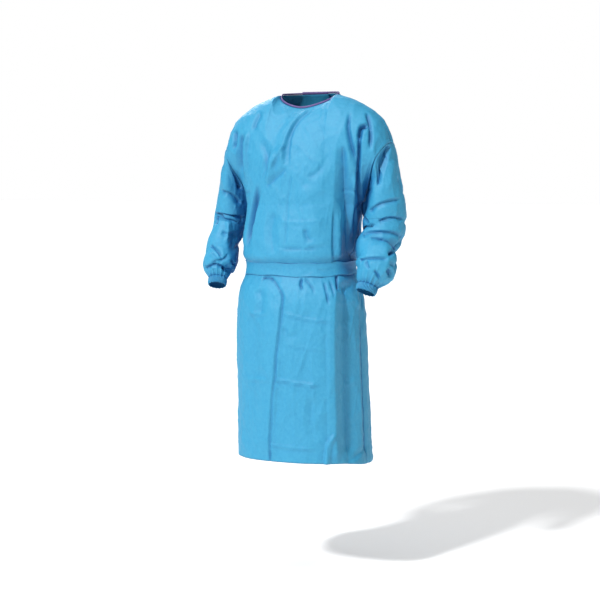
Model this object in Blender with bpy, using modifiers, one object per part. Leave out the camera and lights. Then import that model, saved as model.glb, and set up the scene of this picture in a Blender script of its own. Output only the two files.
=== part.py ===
"""Isolation gown in its worn form: a wrap-back gown of thin nonwoven cloth with long sleeves, gathered
cuffs, a bound neckline and a flat belt tied at the back.

Metres, +Z up. The front faces -Y and the wearer's left is at +X. The origin lies between the shoulders at the
base of the neck, where the gown is held up. Every panel is a flat grid whose points are placed by a form
function and then given its wall, so neighbouring panels share the same seam line.
"""

import math
from collections import namedtuple

import bmesh
import bpy
import numpy as np

# Cloth and seams
WALL = 0.0016
SEAM_GAP = 0.0003
BINDING_WALL = 0.0024
BINDING_WIDTH = 0.0075
BINDING_STAND = 0.0023
BINDING_LEAN = math.radians(25)
BINDING_COLUMNS = 26
CUFF_WALL = 0.0014
FASTENER_WALL = 0.0012
FASTENER_ROWS = 2
FASTENER_FROM = 0.05
FASTENER_RUN = 0.12

# Main heights, from the origin at the neck
HEM_HEIGHT = -1.113
HIP_HEIGHT = -0.605
BELT_LOW = -0.529
BELT_HIGH = -0.487
BLOUSE_HEIGHT = -0.451
UNDERARM_HEIGHT = -0.310
BELT_MID = (BELT_LOW + BELT_HIGH) / 2

# Hem: hangs lower on the wearer's left, and stands out where the wrap's free corner ends on the right
HEM_DROP = 0.022
HEM_DROP_TURN = 104
HEM_DROP_SPREAD = 36
HEM_DROP_TOP = -0.80
CORNER_FLARE = 0.028
CORNER_LIFT = 0.012
CORNER_TURN = -104
CORNER_SPREAD = 26
CORNER_TOP = -0.92
CORNER_BACKWARD = 0.5

# Neckline
NECK_HALF_WIDTH = 0.097
NECK_FRONT_REACH = 0.066
NECK_BACK_REACH = 0.060
NECK_TIP_HEIGHT = 0.033
NECK_FRONT_HEIGHT = -0.011
NECK_BACK_HEIGHT = 0.038
NECK_CURVE = 0.68
SHOULDER_Y = 0.004

# Yoke: how full the cloth is between the underarm and the shoulder line
YOKE_ROUND = 0.85
YOKE_EASE_ANGLE = math.radians(50)
CHEST_REACH = 0.148
ARMHOLE_FRONT_REACH = 0.104
BACK_REACH = 0.122
ARMHOLE_BACK_REACH = 0.100

# Grid of the body panels
YOKE_ROWS = 10
NECK_COLUMNS = 5
SHOULDER_COLUMNS = 9
OUTER_COLUMNS = 8
INNER_COLUMNS = 6
HALF_COLUMNS = NECK_COLUMNS + SHOULDER_COLUMNS
NECK_SHARE = NECK_COLUMNS / HALF_COLUMNS

# Wrap of the open back: shares of a half back that each panel runs past its middle
OUTER_WRAP_TOP = 0.12
OUTER_WRAP_LOW = 0.84
INNER_WRAP_TOP = 0.10
INNER_WRAP_LOW = 0.40
WRAP_LIFT = 0.0046
LIFT_EASE = 0.30
LIFT_RAMP = 0.225

# Belt
BELT_WALL = 0.0014
BELT_CLEARANCE = 0.0005
BELT_DIP = 0.005
BELT_DIP_SPREAD = 0.10
BELT_HOLD = 0.020
BELT_HOLD_EASE = 0.040
BELT_COLUMNS = 56
BELT_ROWS = 2
BELT_EDGE_AHEAD = 0.14
BELT_EDGE_EASE = 0.12
BELT_LIFT_AHEAD = 0.10
KNOT_HALF_SHARE = 0.0385
KNOT_HALF_SIZE = (0.0150, 0.0085, 0.0170)
KNOT_WAIST = 0.18
KNOT_GAP = 0.0012
KNOT_CUTS = 2
TAIL_WIDTH = 0.038
TAIL_LENGTH = 0.40
TAIL_SPREAD = 0.16
TAIL_TOP_SHARE = 0.030
TAIL_ROWS = 12
TAIL_START = 0.0008
TAIL_WAVE = 0.0025
TAIL_FOLD = 0.006
TAIL_FOLD_RUN = 0.30
TAIL_PINCH = 0.35
TAIL_PINCH_RUN = 0.25
TAIL_WAVES = 1.3
TAIL_PHASE = 0.2
TAIL_COLUMNS = 3
HALF_BACK = 0.31

# Sleeves
SLEEVE_ROWS = 19
PUFF_ROWS = 3
GATHER_SPLITS = 2
GATHERS = 15
GATHER_DEPTH = 0.0030
GATHER_START = 0.80
ARMHOLE_EASE = 0.42
ARMHOLE_GAP = 0.0009
ARMHOLE_DROP = 0.0006
UNDERARM_GAP = 0.0024
UNDERARM_SPREAD = 0.35
FRAME_STEP = 0.02
SEAM_HOLD_ALONG = 0.10
END_HOLD_ALONG = 0.05
CUFF_LENGTH = 0.024
CUFF_ROWS = 2
CUFF_WAVE = 0.0014
CUFF_SWELL = 0.0014
CUFF_START = 0.0013
CUFF_AIM = 0.94

Section = namedtuple("Section", "height half_width front_reach back_reach shift_x shift_y corner")
BODY = (
    Section(-1.150, 0.210, 0.184, 0.184, -0.003, -0.018, 2.5),
    Section(-1.000, 0.207, 0.180, 0.178, -0.005, -0.024, 2.5),
    Section(-0.800, 0.204, 0.174, 0.170, -0.009, -0.034, 2.5),
    Section(-0.660, 0.201, 0.164, 0.160, -0.011, -0.038, 2.5),
    Section(-0.580, 0.194, 0.150, 0.145, -0.012, -0.040, 2.4),
    Section(-0.529, 0.179, 0.131, 0.126, -0.012, -0.040, 2.3),
    Section(-0.508, 0.175, 0.128, 0.122, -0.012, -0.040, 2.3),
    Section(-0.487, 0.177, 0.130, 0.124, -0.012, -0.039, 2.3),
    Section(-0.469, 0.185, 0.141, 0.134, -0.011, -0.036, 2.4),
    Section(-0.440, 0.187, 0.147, 0.138, -0.010, -0.032, 2.4),
    Section(-0.375, 0.187, 0.147, 0.136, -0.006, -0.024, 2.4),
    Section(-0.310, 0.189, 0.143, 0.132, -0.003, -0.015, 2.4),
)

Shoulder = namedtuple("Shoulder", "x height")
SHOULDER = (
    Shoulder(NECK_HALF_WIDTH, NECK_TIP_HEIGHT),
    Shoulder(0.135, 0.022),
    Shoulder(0.176, 0.004),
    Shoulder(0.213, -0.018),
    Shoulder(0.243, -0.046),
    Shoulder(0.262, -0.081),
    Shoulder(0.274, -0.120),
)

# Sections of each sleeve down its centre line; x is measured outwards from the middle of the gown
Cuffward = namedtuple("Cuffward", "along x y height half_across half_fore")
SLEEVES = {
    "left": (
        Cuffward(0.00, 0.232, -0.005, -0.215, 0.042, 0.082),
        Cuffward(0.14, 0.243, -0.006, -0.272, 0.051, 0.079),
        Cuffward(0.28, 0.256, -0.008, -0.326, 0.063, 0.076),
        Cuffward(0.42, 0.259, -0.010, -0.370, 0.067, 0.072),
        Cuffward(0.55, 0.259, -0.028, -0.412, 0.060, 0.064),
        Cuffward(0.66, 0.230, -0.060, -0.446, 0.042, 0.054),
        Cuffward(0.77, 0.262, -0.088, -0.482, 0.061, 0.060),
        Cuffward(0.87, 0.265, -0.110, -0.514, 0.060, 0.058),
        Cuffward(0.94, 0.255, -0.124, -0.540, 0.043, 0.043),
        Cuffward(1.00, 0.251, -0.132, -0.557, 0.030, 0.030),
    ),
    "right": (
        Cuffward(0.00, 0.232, -0.005, -0.215, 0.042, 0.082),
        Cuffward(0.14, 0.246, 0.002, -0.272, 0.050, 0.078),
        Cuffward(0.28, 0.263, 0.006, -0.326, 0.058, 0.074),
        Cuffward(0.42, 0.276, 0.004, -0.370, 0.059, 0.066),
        Cuffward(0.55, 0.281, -0.020, -0.412, 0.049, 0.060),
        Cuffward(0.66, 0.286, -0.046, -0.452, 0.051, 0.056),
        Cuffward(0.77, 0.277, -0.074, -0.488, 0.052, 0.055),
        Cuffward(0.87, 0.279, -0.094, -0.516, 0.049, 0.051),
        Cuffward(0.94, 0.275, -0.104, -0.536, 0.036, 0.037),
        Cuffward(1.00, 0.273, -0.111, -0.550, 0.027, 0.027),
    ),
}

# Largest folds. Each runs along a bend of three points, given in millimetres as seen from one side: across to
# the right and up from the origin. Depth is inwards. Lean moves its width from the left flank of a downward
# bend to the right one (-1 to 1). Grip is the end where it is deepest (0 start, 1 end).
Fold = namedtuple("Fold", "piece seen_from across_a up_a across_b up_b across_c up_c width depth lean grip")
FRONT_SIDE = 23
FOLDS = (
    Fold("body", FRONT_SIDE, 18, -12, -62, -60, -72, -205, 24, 19, -0.5, 0.5),
    Fold("body", FRONT_SIDE, -112, -140, -124, -190, -133, -262, 15, -8, 0.0, 0.5),
    Fold("body", FRONT_SIDE, -133, -258, -100, -230, -56, -188, 15, 7, -0.3, 0.4),
    Fold("body", FRONT_SIDE, -190, -70, -222, -120, -213, -215, 18, 11, 0.3, 0.4),
    Fold("body", FRONT_SIDE, -130, -180, -188, -270, -198, -462, 24, 22, 0.4, 0.7),
    Fold("body", FRONT_SIDE, 102, -115, 88, -260, 142, -470, 22, 24, -0.3, 0.6),
    Fold("body", FRONT_SIDE, 92, -260, 68, -360, 84, -478, 15, 12, -0.3, 0.7),
    Fold("body", FRONT_SIDE, 124, -28, 100, -88, 142, -180, 17, 13, -0.3, 0.4),
    Fold("body", FRONT_SIDE, 178, -30, 194, -90, 189, -145, 13, 10, 0.3, 0.5),
    Fold("body", FRONT_SIDE, 158, -80, 148, -180, 160, -320, 17, 17, 0.0, 0.6),
    Fold("body", FRONT_SIDE, -106, -552, -78, -640, -104, -860, 19, 14, 0.3, 0.1),
    Fold("body", FRONT_SIDE, -104, -850, -112, -960, -124, -1112, 19, 9, 0.3, 0.4),
    Fold("body", FRONT_SIDE, 48, -552, 52, -590, 60, -660, 15, 7, 0.0, 0.1),
    Fold("body", FRONT_SIDE, 78, -560, 74, -800, 84, -1112, 34, -10, 0.0, 0.5),
    Fold("body", 180, -90, -100, -60, -260, -120, -450, 60, 7, 0.0, 0.7),
    Fold("body", 180, 110, -90, 80, -250, 130, -455, 60, 6, 0.0, 0.6),
    Fold("body", 180, 70, -560, 80, -800, 70, -1112, 65, 7, 0.0, 0.3),
    Fold("body", 180, -120, -560, -130, -820, -140, -1112, 60, 6, 0.0, 0.3),
    Fold("left", FRONT_SIDE, 240, -127, 205, -195, 174, -265, 20, 15, 0.2, 0.4),
    Fold("left", FRONT_SIDE, 168, -334, 214, -284, 284, -288, 15, 11, 0.3, 0.3),
    Fold("left", FRONT_SIDE, 204, -366, 238, -344, 280, -350, 12, 8, 0.3, 0.4),
    Fold("left", FRONT_SIDE, 166, -401, 216, -388, 280, -411, 14, 13, -0.3, 0.4),
    Fold("left", FRONT_SIDE, 152, -478, 197, -468, 248, -474, 13, 11, -0.2, 0.5),
    Fold("right", FRONT_SIDE, -262, -172, -240, -215, -224, -268, 17, 13, 0.2, 0.4),
    Fold("right", FRONT_SIDE, -280, -270, -248, -280, -220, -312, 13, 8, 0.2, 0.5),
    Fold("right", FRONT_SIDE, -304, -344, -262, -352, -216, -349, 14, 13, -0.3, 0.4),
    Fold("right", FRONT_SIDE, -310, -436, -272, -452, -262, -480, 13, 8, 0.0, 0.5),
    Fold("left", 160, -200, -300, -240, -360, -300, -380, 20, 9, 0.0, 0.5),
    Fold("right", 200, 200, -300, 240, -360, 300, -380, 20, 9, 0.0, 0.5),
)
FOLD_STEPS = 14
FOLD_SHARPNESS = 1.5
FOLD_NARROW = 0.7
FOLD_FAN = 0.9
FOLD_REACH = 1.08
FOLD_MID_GRIP = 0.2
FOLD_FACING = 0.1
FOLD_FACING_EASE = 0.5
SEAM_HOLD = 0.12
NECK_HOLD_ROWS = 1.6
NORMAL_STEP = 1e-4
TINY = 1e-6
ROW_INSET = 0.001
SEAM_INSET = 0.002
MIDDLE_BACK = 0.02
MIDDLE_TOP = -0.15
MM = 0.001
MERGE = 1e-5

# Colours
CLOTH_BLUE = (0.105, 0.462, 0.745, 1.0)
BINDING_VIOLET = (0.162, 0.078, 0.352, 1.0)


def smooth_step(value):
    """0 to 1, level at both ends."""
    t = np.clip(value, 0.0, 1.0)
    return t * t * (3 - 2 * t)


def between(rows, key, column, value):
    """A table's column at any value of its key, on a smooth curve through the rows."""
    keys = np.array([getattr(row, key) for row in rows])
    values = np.array([getattr(row, column) for row in rows])
    slopes = np.gradient(values, keys)
    at = np.clip(np.searchsorted(keys, value) - 1, 0, len(keys) - 2)
    step = keys[at + 1] - keys[at]
    t = np.clip((value - keys[at]) / step, 0.0, 1.0)
    start = (1 + 2 * t) * (1 - t) ** 2 * values[at] + t * (1 - t) ** 2 * step * slopes[at]
    end = t * t * (3 - 2 * t) * values[at + 1] + t * t * (t - 1) * step * slopes[at + 1]
    return start + end


def signed_power(value, power):
    return np.sign(value) * np.abs(value) ** power


# Rows of the body panels: heights up to the underarm, then even steps over the yoke
Band = namedtuple("Band", "bottom top rows")
BANDS = (
    Band(HEM_HEIGHT, HIP_HEIGHT, 9),
    Band(HIP_HEIGHT, BELT_LOW, 3),
    Band(BELT_LOW, BELT_HIGH, 2),
    Band(BELT_HIGH, BLOUSE_HEIGHT, 2),
    Band(BLOUSE_HEIGHT, UNDERARM_HEIGHT, 5),
)
UNDERARM_ROW = sum(band.rows for band in BANDS)
TOP_ROW = UNDERARM_ROW + YOKE_ROWS


def level(row):
    """The height and the rise over the yoke (0 to 1) of any row."""
    marks = np.cumsum([0] + [band.rows for band in BANDS])
    heights = [BANDS[0].bottom] + [band.top for band in BANDS]
    return np.interp(row, marks, heights), np.clip((row - UNDERARM_ROW) / YOKE_ROWS, 0.0, 1.0)


def top_line(across, front):
    """Neckline and shoulder line: x, y and z at a share across the half front or half back."""
    share = np.abs(across)
    turn = np.clip(share / NECK_SHARE, 0, 1) * math.pi / 2
    reach = -NECK_FRONT_REACH if front else NECK_BACK_REACH
    if front:
        drop = (NECK_TIP_HEIGHT - NECK_FRONT_HEIGHT) * (1 - np.cos(turn)) ** NECK_CURVE
        neck_height = NECK_FRONT_HEIGHT + drop
    else:
        neck_height = NECK_TIP_HEIGHT + (NECK_BACK_HEIGHT - NECK_TIP_HEIGHT) * np.cos(turn)
    xs = np.array([row.x for row in SHOULDER])
    heights = np.array([row.height for row in SHOULDER])
    run = np.concatenate([[0], np.cumsum(np.hypot(np.diff(xs), np.diff(heights)))])
    along = np.clip((share - NECK_SHARE) / (1 - NECK_SHARE), 0, 1) * run[-1]
    on_neck = share <= NECK_SHARE
    x = np.where(on_neck, NECK_HALF_WIDTH * np.sin(turn), np.interp(along, run, xs))
    z = np.where(on_neck, neck_height, np.interp(along, run, heights))
    y = np.where(on_neck, SHOULDER_Y + reach * np.cos(turn), SHOULDER_Y)
    return np.sign(across) * x, y, z


def turn_of(across, front):
    """Degrees round the body from the middle of the front, positive towards the wearer's left."""
    return 90 * across if front else np.where(across >= 0, 180, -180) - 90 * across


def corner_share(turn, height):
    """How strongly the wrap's free corner stands out, from 0 to 1."""
    low = smooth_step((CORNER_TOP - height) / (CORNER_TOP - HEM_HEIGHT))
    return low * np.exp(-(((turn - CORNER_TURN) / CORNER_SPREAD) ** 2))


def body_plain(across, height, rise, front):
    """The body without folds. Across runs from -1 at the wearer's right seam to 1 at the left one."""
    angle = across * math.pi / 2
    power = 2 / between(BODY, "height", "corner", height)
    side = -1 if front else 1
    reach = between(BODY, "height", "front_reach" if front else "back_reach", height)
    x_low = between(BODY, "height", "shift_x", height)
    x_low = x_low + between(BODY, "height", "half_width", height) * signed_power(np.sin(angle), power)
    y_low = between(BODY, "height", "shift_y", height)
    y_low = y_low + side * reach * signed_power(np.cos(angle), power)
    near_belt = np.exp(-(((height - BELT_MID) / BELT_DIP_SPREAD) ** 2))
    dip = BELT_DIP * side * np.cos(angle) * near_belt

    turn = turn_of(across, front)
    lowness = smooth_step((HEM_DROP_TOP - height) / (HEM_DROP_TOP - HEM_HEIGHT))
    dip = dip - HEM_DROP * lowness * np.exp(-(((turn - HEM_DROP_TURN) / HEM_DROP_SPREAD) ** 2))
    corner = CORNER_FLARE * corner_share(turn, height)
    x_low = x_low - corner
    y_low = y_low + corner * CORNER_BACKWARD

    x_top, y_top, z_top = top_line(across, front)
    full, at_armhole = (CHEST_REACH, ARMHOLE_FRONT_REACH) if front else (BACK_REACH, ARMHOLE_BACK_REACH)
    y_full = side * (full + (at_armhole - full) * across**2)
    end_share = np.clip((y_top - SHOULDER_Y) / (y_full - SHOULDER_Y), 0, 1)
    end_angle = np.arccos(end_share ** (1 / YOKE_ROUND))
    bend = rise * end_angle
    y_out = y_low + (y_full - y_low) * smooth_step(bend / YOKE_EASE_ANGLE)
    climb = np.sin(bend) ** YOKE_ROUND / np.sin(end_angle) ** YOKE_ROUND
    y = SHOULDER_Y + (y_out - SHOULDER_Y) * np.cos(bend) ** YOKE_ROUND
    x = x_low + (x_top - x_low) * climb
    z = height + dip + (z_top - height) * climb
    rises = (rise > 0)[:, None]
    return np.where(rises, np.stack([x, y, z], -1), np.stack([x_low, y_low, height + dip], -1))


def bend_points(fold):
    """Points along a fold's bend, in metres as seen from its side."""
    t = np.linspace(0, 1, FOLD_STEPS)[:, None]
    a = np.array([fold.across_a, fold.up_a])
    b = np.array([fold.across_b, fold.up_b])
    c = np.array([fold.across_c, fold.up_c])
    return ((1 - t) ** 2 * a + 2 * t * (1 - t) * b + t * t * c) * MM


def fold_depth(points, normals, piece):
    """How far the folds of a piece press each point inwards."""
    total = np.zeros(len(points))
    for fold in FOLDS:
        if fold.piece != piece:
            continue
        side = math.radians(fold.seen_from)
        seen = np.stack([points[:, 0] * math.cos(side) + points[:, 1] * math.sin(side), points[:, 2]], -1)
        facing = normals[:, 0] * math.sin(side) - normals[:, 1] * math.cos(side)
        bend = bend_points(fold)
        gaps = np.linalg.norm(seen[:, None, :] - bend[None, :, :], axis=2)
        nearest = gaps.argmin(axis=1)
        share = nearest / (FOLD_STEPS - 1)
        ahead = np.gradient(bend, axis=0)[nearest]
        off = seen - bend[nearest]
        right_of = np.sign(ahead[:, 0] * off[:, 1] - ahead[:, 1] * off[:, 0])
        spread = fold.width * MM * (FOLD_NARROW + FOLD_FAN * np.abs(share - fold.grip))
        spread = spread * (1 + fold.lean * right_of)
        run = FOLD_REACH - FOLD_MID_GRIP * abs(fold.grip - 0.5)
        taper = np.clip(1 - ((share - fold.grip) / run) ** 2, 0, 1)
        swell = np.exp(-((gaps.min(axis=1) / spread) ** FOLD_SHARPNESS)) * taper
        total += fold.depth * MM * swell * smooth_step((facing + FOLD_FACING) / FOLD_FACING_EASE)
    return total


def hold_of_belt(height):
    """0 under the belt, where the cloth is pressed flat, and 1 clear of it."""
    return smooth_step((np.abs(height - BELT_MID) - BELT_HOLD) / BELT_HOLD_EASE)


def normals_of(plain, first, second, inner):
    """Unit normals of a form by small steps, turned away from the inner points."""
    along_first = plain(first + NORMAL_STEP, second) - plain(first - NORMAL_STEP, second)
    along_second = plain(first, second + NORMAL_STEP) - plain(first, second - NORMAL_STEP)
    normal = np.cross(along_first, along_second)
    length = np.linalg.norm(normal, axis=1, keepdims=True)
    normal = normal / np.where(length < TINY**2, 1, length)
    away = plain(first, second) - inner
    return normal * np.where((normal * away).sum(axis=1, keepdims=True) < 0, -1, 1)


def body(across, row, front, lift):
    """Points of the body with its folds, moved out by lift."""
    row = np.clip(row, 0.0, TOP_ROW)
    height, rise = level(row)

    def plain(share, at_row):
        return body_plain(share, *level(np.clip(at_row, 0.0, TOP_ROW)), front)

    inner_row = np.clip(row, ROW_INSET, TOP_ROW - ROW_INSET)
    inner_height = np.minimum(height - MIDDLE_BACK, MIDDLE_TOP)
    middle = np.stack([0 * across, 0 * across - MIDDLE_BACK, inner_height], -1)
    safe_across = np.clip(across, SEAM_INSET - 1, 1 - SEAM_INSET)
    normal = normals_of(plain, safe_across, inner_row, middle)
    points = body_plain(across, height, rise, front)
    press = fold_depth(points, normal, "body") * hold_of_belt(height)
    hold = smooth_step((1 - np.abs(across)) / SEAM_HOLD) * smooth_step((TOP_ROW - row) / NECK_HOLD_ROWS)
    return points + normal * (lift - press * hold)[:, None]


def body_row(height):
    """The row at any height up to the underarm."""
    marks = np.cumsum([0] + [band.rows for band in BANDS])
    heights = [BANDS[0].bottom] + [band.top for band in BANDS]
    return np.interp(height, heights, marks)


def wrap(top, low, row):
    """How far past the middle of the back a panel runs at a row."""
    return top + (low - top) * smooth_step((TOP_ROW - row) / (TOP_ROW - UNDERARM_ROW / 2))


def outer_lift(across, row):
    """The lift of the outer back panel, which clears the inner one beneath it."""
    edge = wrap(INNER_WRAP_TOP, INNER_WRAP_LOW, row)
    corner = CORNER_LIFT * corner_share(turn_of(across, False), level(row)[0])
    return WRAP_LIFT * smooth_step((edge + LIFT_EASE - across) / LIFT_RAMP) + corner


def back_shares(along, row, top, low, past_columns):
    """Shares across the back from the side seam, at 1, past the middle to the panel's free edge."""
    at = along * (SHOULDER_COLUMNS + past_columns)
    past = np.clip((at - SHOULDER_COLUMNS) / past_columns, 0, 1)
    return np.where(
        at <= SHOULDER_COLUMNS,
        1 - at / HALF_COLUMNS,
        NECK_SHARE - past * (NECK_SHARE + wrap(top, low, row)),
    )


def front_panel(u, v):
    """The front, from side seam to side seam and hem to neckline."""
    points = body(2 * u - 1, v * TOP_ROW, True, np.zeros(len(u)))
    return seam_room(points, 2 * u - 1, v, True)


def seam_room(points, across, v, front):
    """Draws the panel's edges back from the shoulder and side seams by half a gap."""
    side = -1 if front else 1
    room = np.zeros_like(points)
    at_top = (v > 1 - TINY) & (np.abs(across) >= NECK_SHARE - TINY)
    at_side = (np.abs(across) > 1 - TINY) & (v <= UNDERARM_ROW / TOP_ROW + TINY)
    room[:, 1] = np.where(at_top | at_side, side * SEAM_GAP, 0)
    return points + room


def back_panel_left(u, v):
    """The outer half of the back, from the wearer's left seam over the middle."""
    row = v * TOP_ROW
    across = back_shares(u, row, OUTER_WRAP_TOP, OUTER_WRAP_LOW, OUTER_COLUMNS)
    return seam_room(body(across, row, False, outer_lift(across, row)), across, v, False)


def back_panel_right(u, v):
    """The inner half of the back, from the wearer's right seam under the outer half."""
    row = v * TOP_ROW
    across = -back_shares(u, row, INNER_WRAP_TOP, INNER_WRAP_LOW, INNER_COLUMNS)
    return seam_room(body(across, row, False, np.zeros(len(u))), across, v, False)


def armhole(u, side):
    """The armhole seam: u runs from the underarm over the front, the shoulder and the back."""
    rise = 1 - np.abs(2 * u - 1)
    row = UNDERARM_ROW + rise * YOKE_ROWS
    across = np.full(len(u), float(side))
    front = body(across, row, True, np.zeros(len(u)))
    back = body(across, row, False, np.zeros(len(u)))
    points = np.where((u <= 0.5)[:, None], front, back)
    under = smooth_step(1 - rise / UNDERARM_SPREAD)
    points[:, 0] += side * (ARMHOLE_GAP + UNDERARM_GAP * under)
    points[:, 2] -= ARMHOLE_DROP
    return points


def sleeve_frame(rows, v, side):
    """Centre, outward and forward directions of the sleeve's sections."""
    def centre(at):
        return np.stack([side * between(rows, "along", "x", at), between(rows, "along", "y", at),
                         between(rows, "along", "height", at)], -1)

    run = centre(np.clip(v + FRAME_STEP, 0, 1)) - centre(np.clip(v - FRAME_STEP, 0, 1))
    run /= np.linalg.norm(run, axis=1, keepdims=True)
    out = np.zeros_like(run) + np.array([side, 0.0, 0.0])
    out -= run * (out * run).sum(axis=1, keepdims=True)
    out /= np.linalg.norm(out, axis=1, keepdims=True)
    return centre(v), out, np.cross(run, out) * side


def sleeve_ring(rows, u, v, side):
    """The plain sleeve: sections along its centre line."""
    centre, out, fore = sleeve_frame(rows, v, side)
    turn = 2 * math.pi * u
    across = between(rows, "along", "half_across", v) * -np.cos(turn)
    forward = between(rows, "along", "half_fore", v) * np.sin(turn)
    return centre + out * across[:, None] - fore * forward[:, None] * np.sign(fore[:, 1:2])


def sleeve_plain(rows, u, v, side):
    """The sleeve without folds, eased from the armhole seam into its sections."""
    u = np.mod(u, 1.0)
    ease = 1 - smooth_step(v / ARMHOLE_EASE)
    start = armhole(u, side) - sleeve_ring(rows, u, np.zeros(len(u)), side)
    return sleeve_ring(rows, u, v, side) + start * ease[:, None]


def gather_wave(u, v, depth):
    """Waves of the gathered end, which grow towards the cuff."""
    grow = smooth_step((v - GATHER_START) / (1 - GATHER_START))
    return depth * grow * np.cos(2 * math.pi * GATHERS * u)


def sleeve(name, u, v):
    """Points of a sleeve with its folds and gathers."""
    rows = SLEEVES[name]
    side = 1 if name == "left" else -1
    v_in = np.clip(v, SEAM_INSET, 1 - SEAM_INSET)

    def plain(first, second):
        return sleeve_plain(rows, first, np.clip(second, 0, 1), side)

    centre, _, _ = sleeve_frame(rows, v_in, side)
    normal = normals_of(plain, u, v_in, centre)
    points = sleeve_plain(rows, u, v, side)
    hold = smooth_step(v / SEAM_HOLD_ALONG) * smooth_step((1 - v) / END_HOLD_ALONG)
    press = fold_depth(points, normal, name) * hold
    return points + normal * (gather_wave(u, v, GATHER_DEPTH) - press)[:, None]


def cuff(name, u, v):
    """The gathered casing that carries on from the sleeve's last section."""
    rows = SLEEVES[name]
    side = 1 if name == "left" else -1
    last = sleeve(name, u, np.ones(len(u)))
    centre = sleeve_frame(rows, np.ones(1), side)[0]
    ahead = centre - sleeve_frame(rows, np.full(1, CUFF_AIM), side)[0]
    ahead /= np.linalg.norm(ahead)
    out = last - centre
    out -= ahead * (out * ahead).sum(axis=1, keepdims=True)
    out /= np.linalg.norm(out, axis=1, keepdims=True)
    swell = CUFF_SWELL * np.sin(math.pi * v) + CUFF_WAVE * v * np.cos(2 * math.pi * GATHERS * u)
    hold = gather_wave(u, np.ones(len(u)), GATHER_DEPTH) * v
    return last + ahead * (CUFF_START + v * CUFF_LENGTH)[:, None] + out * (swell - hold)[:, None]


def neck_binding(u, v):
    """The tape round the neckline, standing on the panels' edge, from the outer end at the back, round the
    wearer's left and the front to the inner end."""
    to_front = OUTER_WRAP_TOP + NECK_SHARE
    to_right = to_front + 2 * NECK_SHARE
    run = u * (to_right + NECK_SHARE + INNER_WRAP_TOP)
    top = np.full(len(u), float(TOP_ROW))
    left_back = run - OUTER_WRAP_TOP
    front = NECK_SHARE - (run - to_front)
    right_back = run - to_right - NECK_SHARE
    outer = body(np.clip(left_back, -OUTER_WRAP_TOP, NECK_SHARE), top, False, outer_lift(left_back, top))
    ahead = body(np.clip(front, -NECK_SHARE, NECK_SHARE), top, True, np.zeros(len(u)))
    inner = body(np.clip(right_back, -NECK_SHARE, INNER_WRAP_TOP), top, False, np.zeros(len(u)))
    edge = np.where((run <= to_front)[:, None], outer, np.where((run <= to_right)[:, None], ahead, inner))
    inward = -np.stack([edge[:, 0], edge[:, 1] - SHOULDER_Y, 0 * u], -1)
    inward /= np.linalg.norm(inward, axis=1, keepdims=True)
    stand = inward * math.sin(BINDING_LEAN) + np.array([0, 0, math.cos(BINDING_LEAN)])
    return edge + stand * (BINDING_STAND + v * BINDING_WIDTH)[:, None]


def neck_fastener(u, v):
    """The closing patch between the two back layers, just below the neckline."""
    row = TOP_ROW - FASTENER_ROWS + v
    across = FASTENER_FROM - u * FASTENER_RUN
    return body(across, row, False, np.full(len(u), WRAP_LIFT / 2))


def belt_lift(share, front):
    """The belt's stand-off from the body, over the wrap at the back."""
    over = WALL / 2 + BELT_CLEARANCE + BELT_WALL / 2
    if front:
        return np.full(len(share), over)
    row = np.full(len(share), body_row(BELT_MID))
    free_edge = -wrap(OUTER_WRAP_TOP, OUTER_WRAP_LOW, row)
    on_wrap = smooth_step((share - free_edge + BELT_EDGE_AHEAD) / BELT_EDGE_EASE)
    before_lift = wrap(INNER_WRAP_TOP, INNER_WRAP_LOW, row) + LIFT_EASE + BELT_LIFT_AHEAD
    return over + (WRAP_LIFT + 2 * SEAM_GAP) * on_wrap * smooth_step((before_lift - share) / LIFT_EASE)


def waist_belt(u, v):
    """The belt, from the knot round the wearer's left, the front and the right, back to the knot."""
    row = body_row(BELT_LOW) + v * (body_row(BELT_HIGH) - body_row(BELT_LOW))
    run = KNOT_HALF_SHARE + u * (4 - 2 * KNOT_HALF_SHARE)
    left_back, front, right_back = run, 2 - run, run - 4
    at_front = (run > 1) & (run < 3)
    back_share = np.where(run <= 1, left_back, right_back)
    front_points = body(np.clip(front, -1, 1), row, True, belt_lift(front, True))
    back_points = body(np.clip(back_share, -1, 1), row, False, belt_lift(back_share, False))
    return np.where(at_front[:, None], front_points, back_points)


def belt_tail(side, u, v):
    """A free end of the belt, hanging from the knot down the back."""
    height = BELT_LOW + TAIL_START - v * TAIL_LENGTH
    pinch = TAIL_PINCH + (1 - TAIL_PINCH) * smooth_step(v / TAIL_PINCH_RUN)
    share = side * (TAIL_TOP_SHARE + TAIL_SPREAD * v) + (u - 0.5) * TAIL_WIDTH / HALF_BACK * pinch
    wave = TAIL_WAVE * np.sin(2 * math.pi * (TAIL_WAVES * v + TAIL_PHASE * side)) ** 2
    fold = TAIL_FOLD * (1 - smooth_step(v / TAIL_FOLD_RUN)) * (1 + np.cos(2 * math.pi * (u - 0.5))) / 2
    lift = WRAP_LIFT + WALL / 2 + BELT_WALL + 3 * BELT_CLEARANCE + wave + fold
    return body(share, body_row(height), False, lift)


def material(name, colour, roughness):
    made = bpy.data.materials.new(name)
    made.use_nodes = True
    shader = made.node_tree.nodes["Principled BSDF"]
    shader.inputs["Base Color"].default_value = colour
    shader.inputs["Roughness"].default_value = roughness
    shader.inputs["Metallic"].default_value = 0.0
    made.diffuse_color = colour
    return made


def link(name, mesh, finish, collection):
    made = bpy.data.objects.new(name, mesh)
    made.data.materials.append(finish)
    collection.objects.link(made)
    for polygon in mesh.polygons:
        polygon.use_smooth = True
    return made


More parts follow.
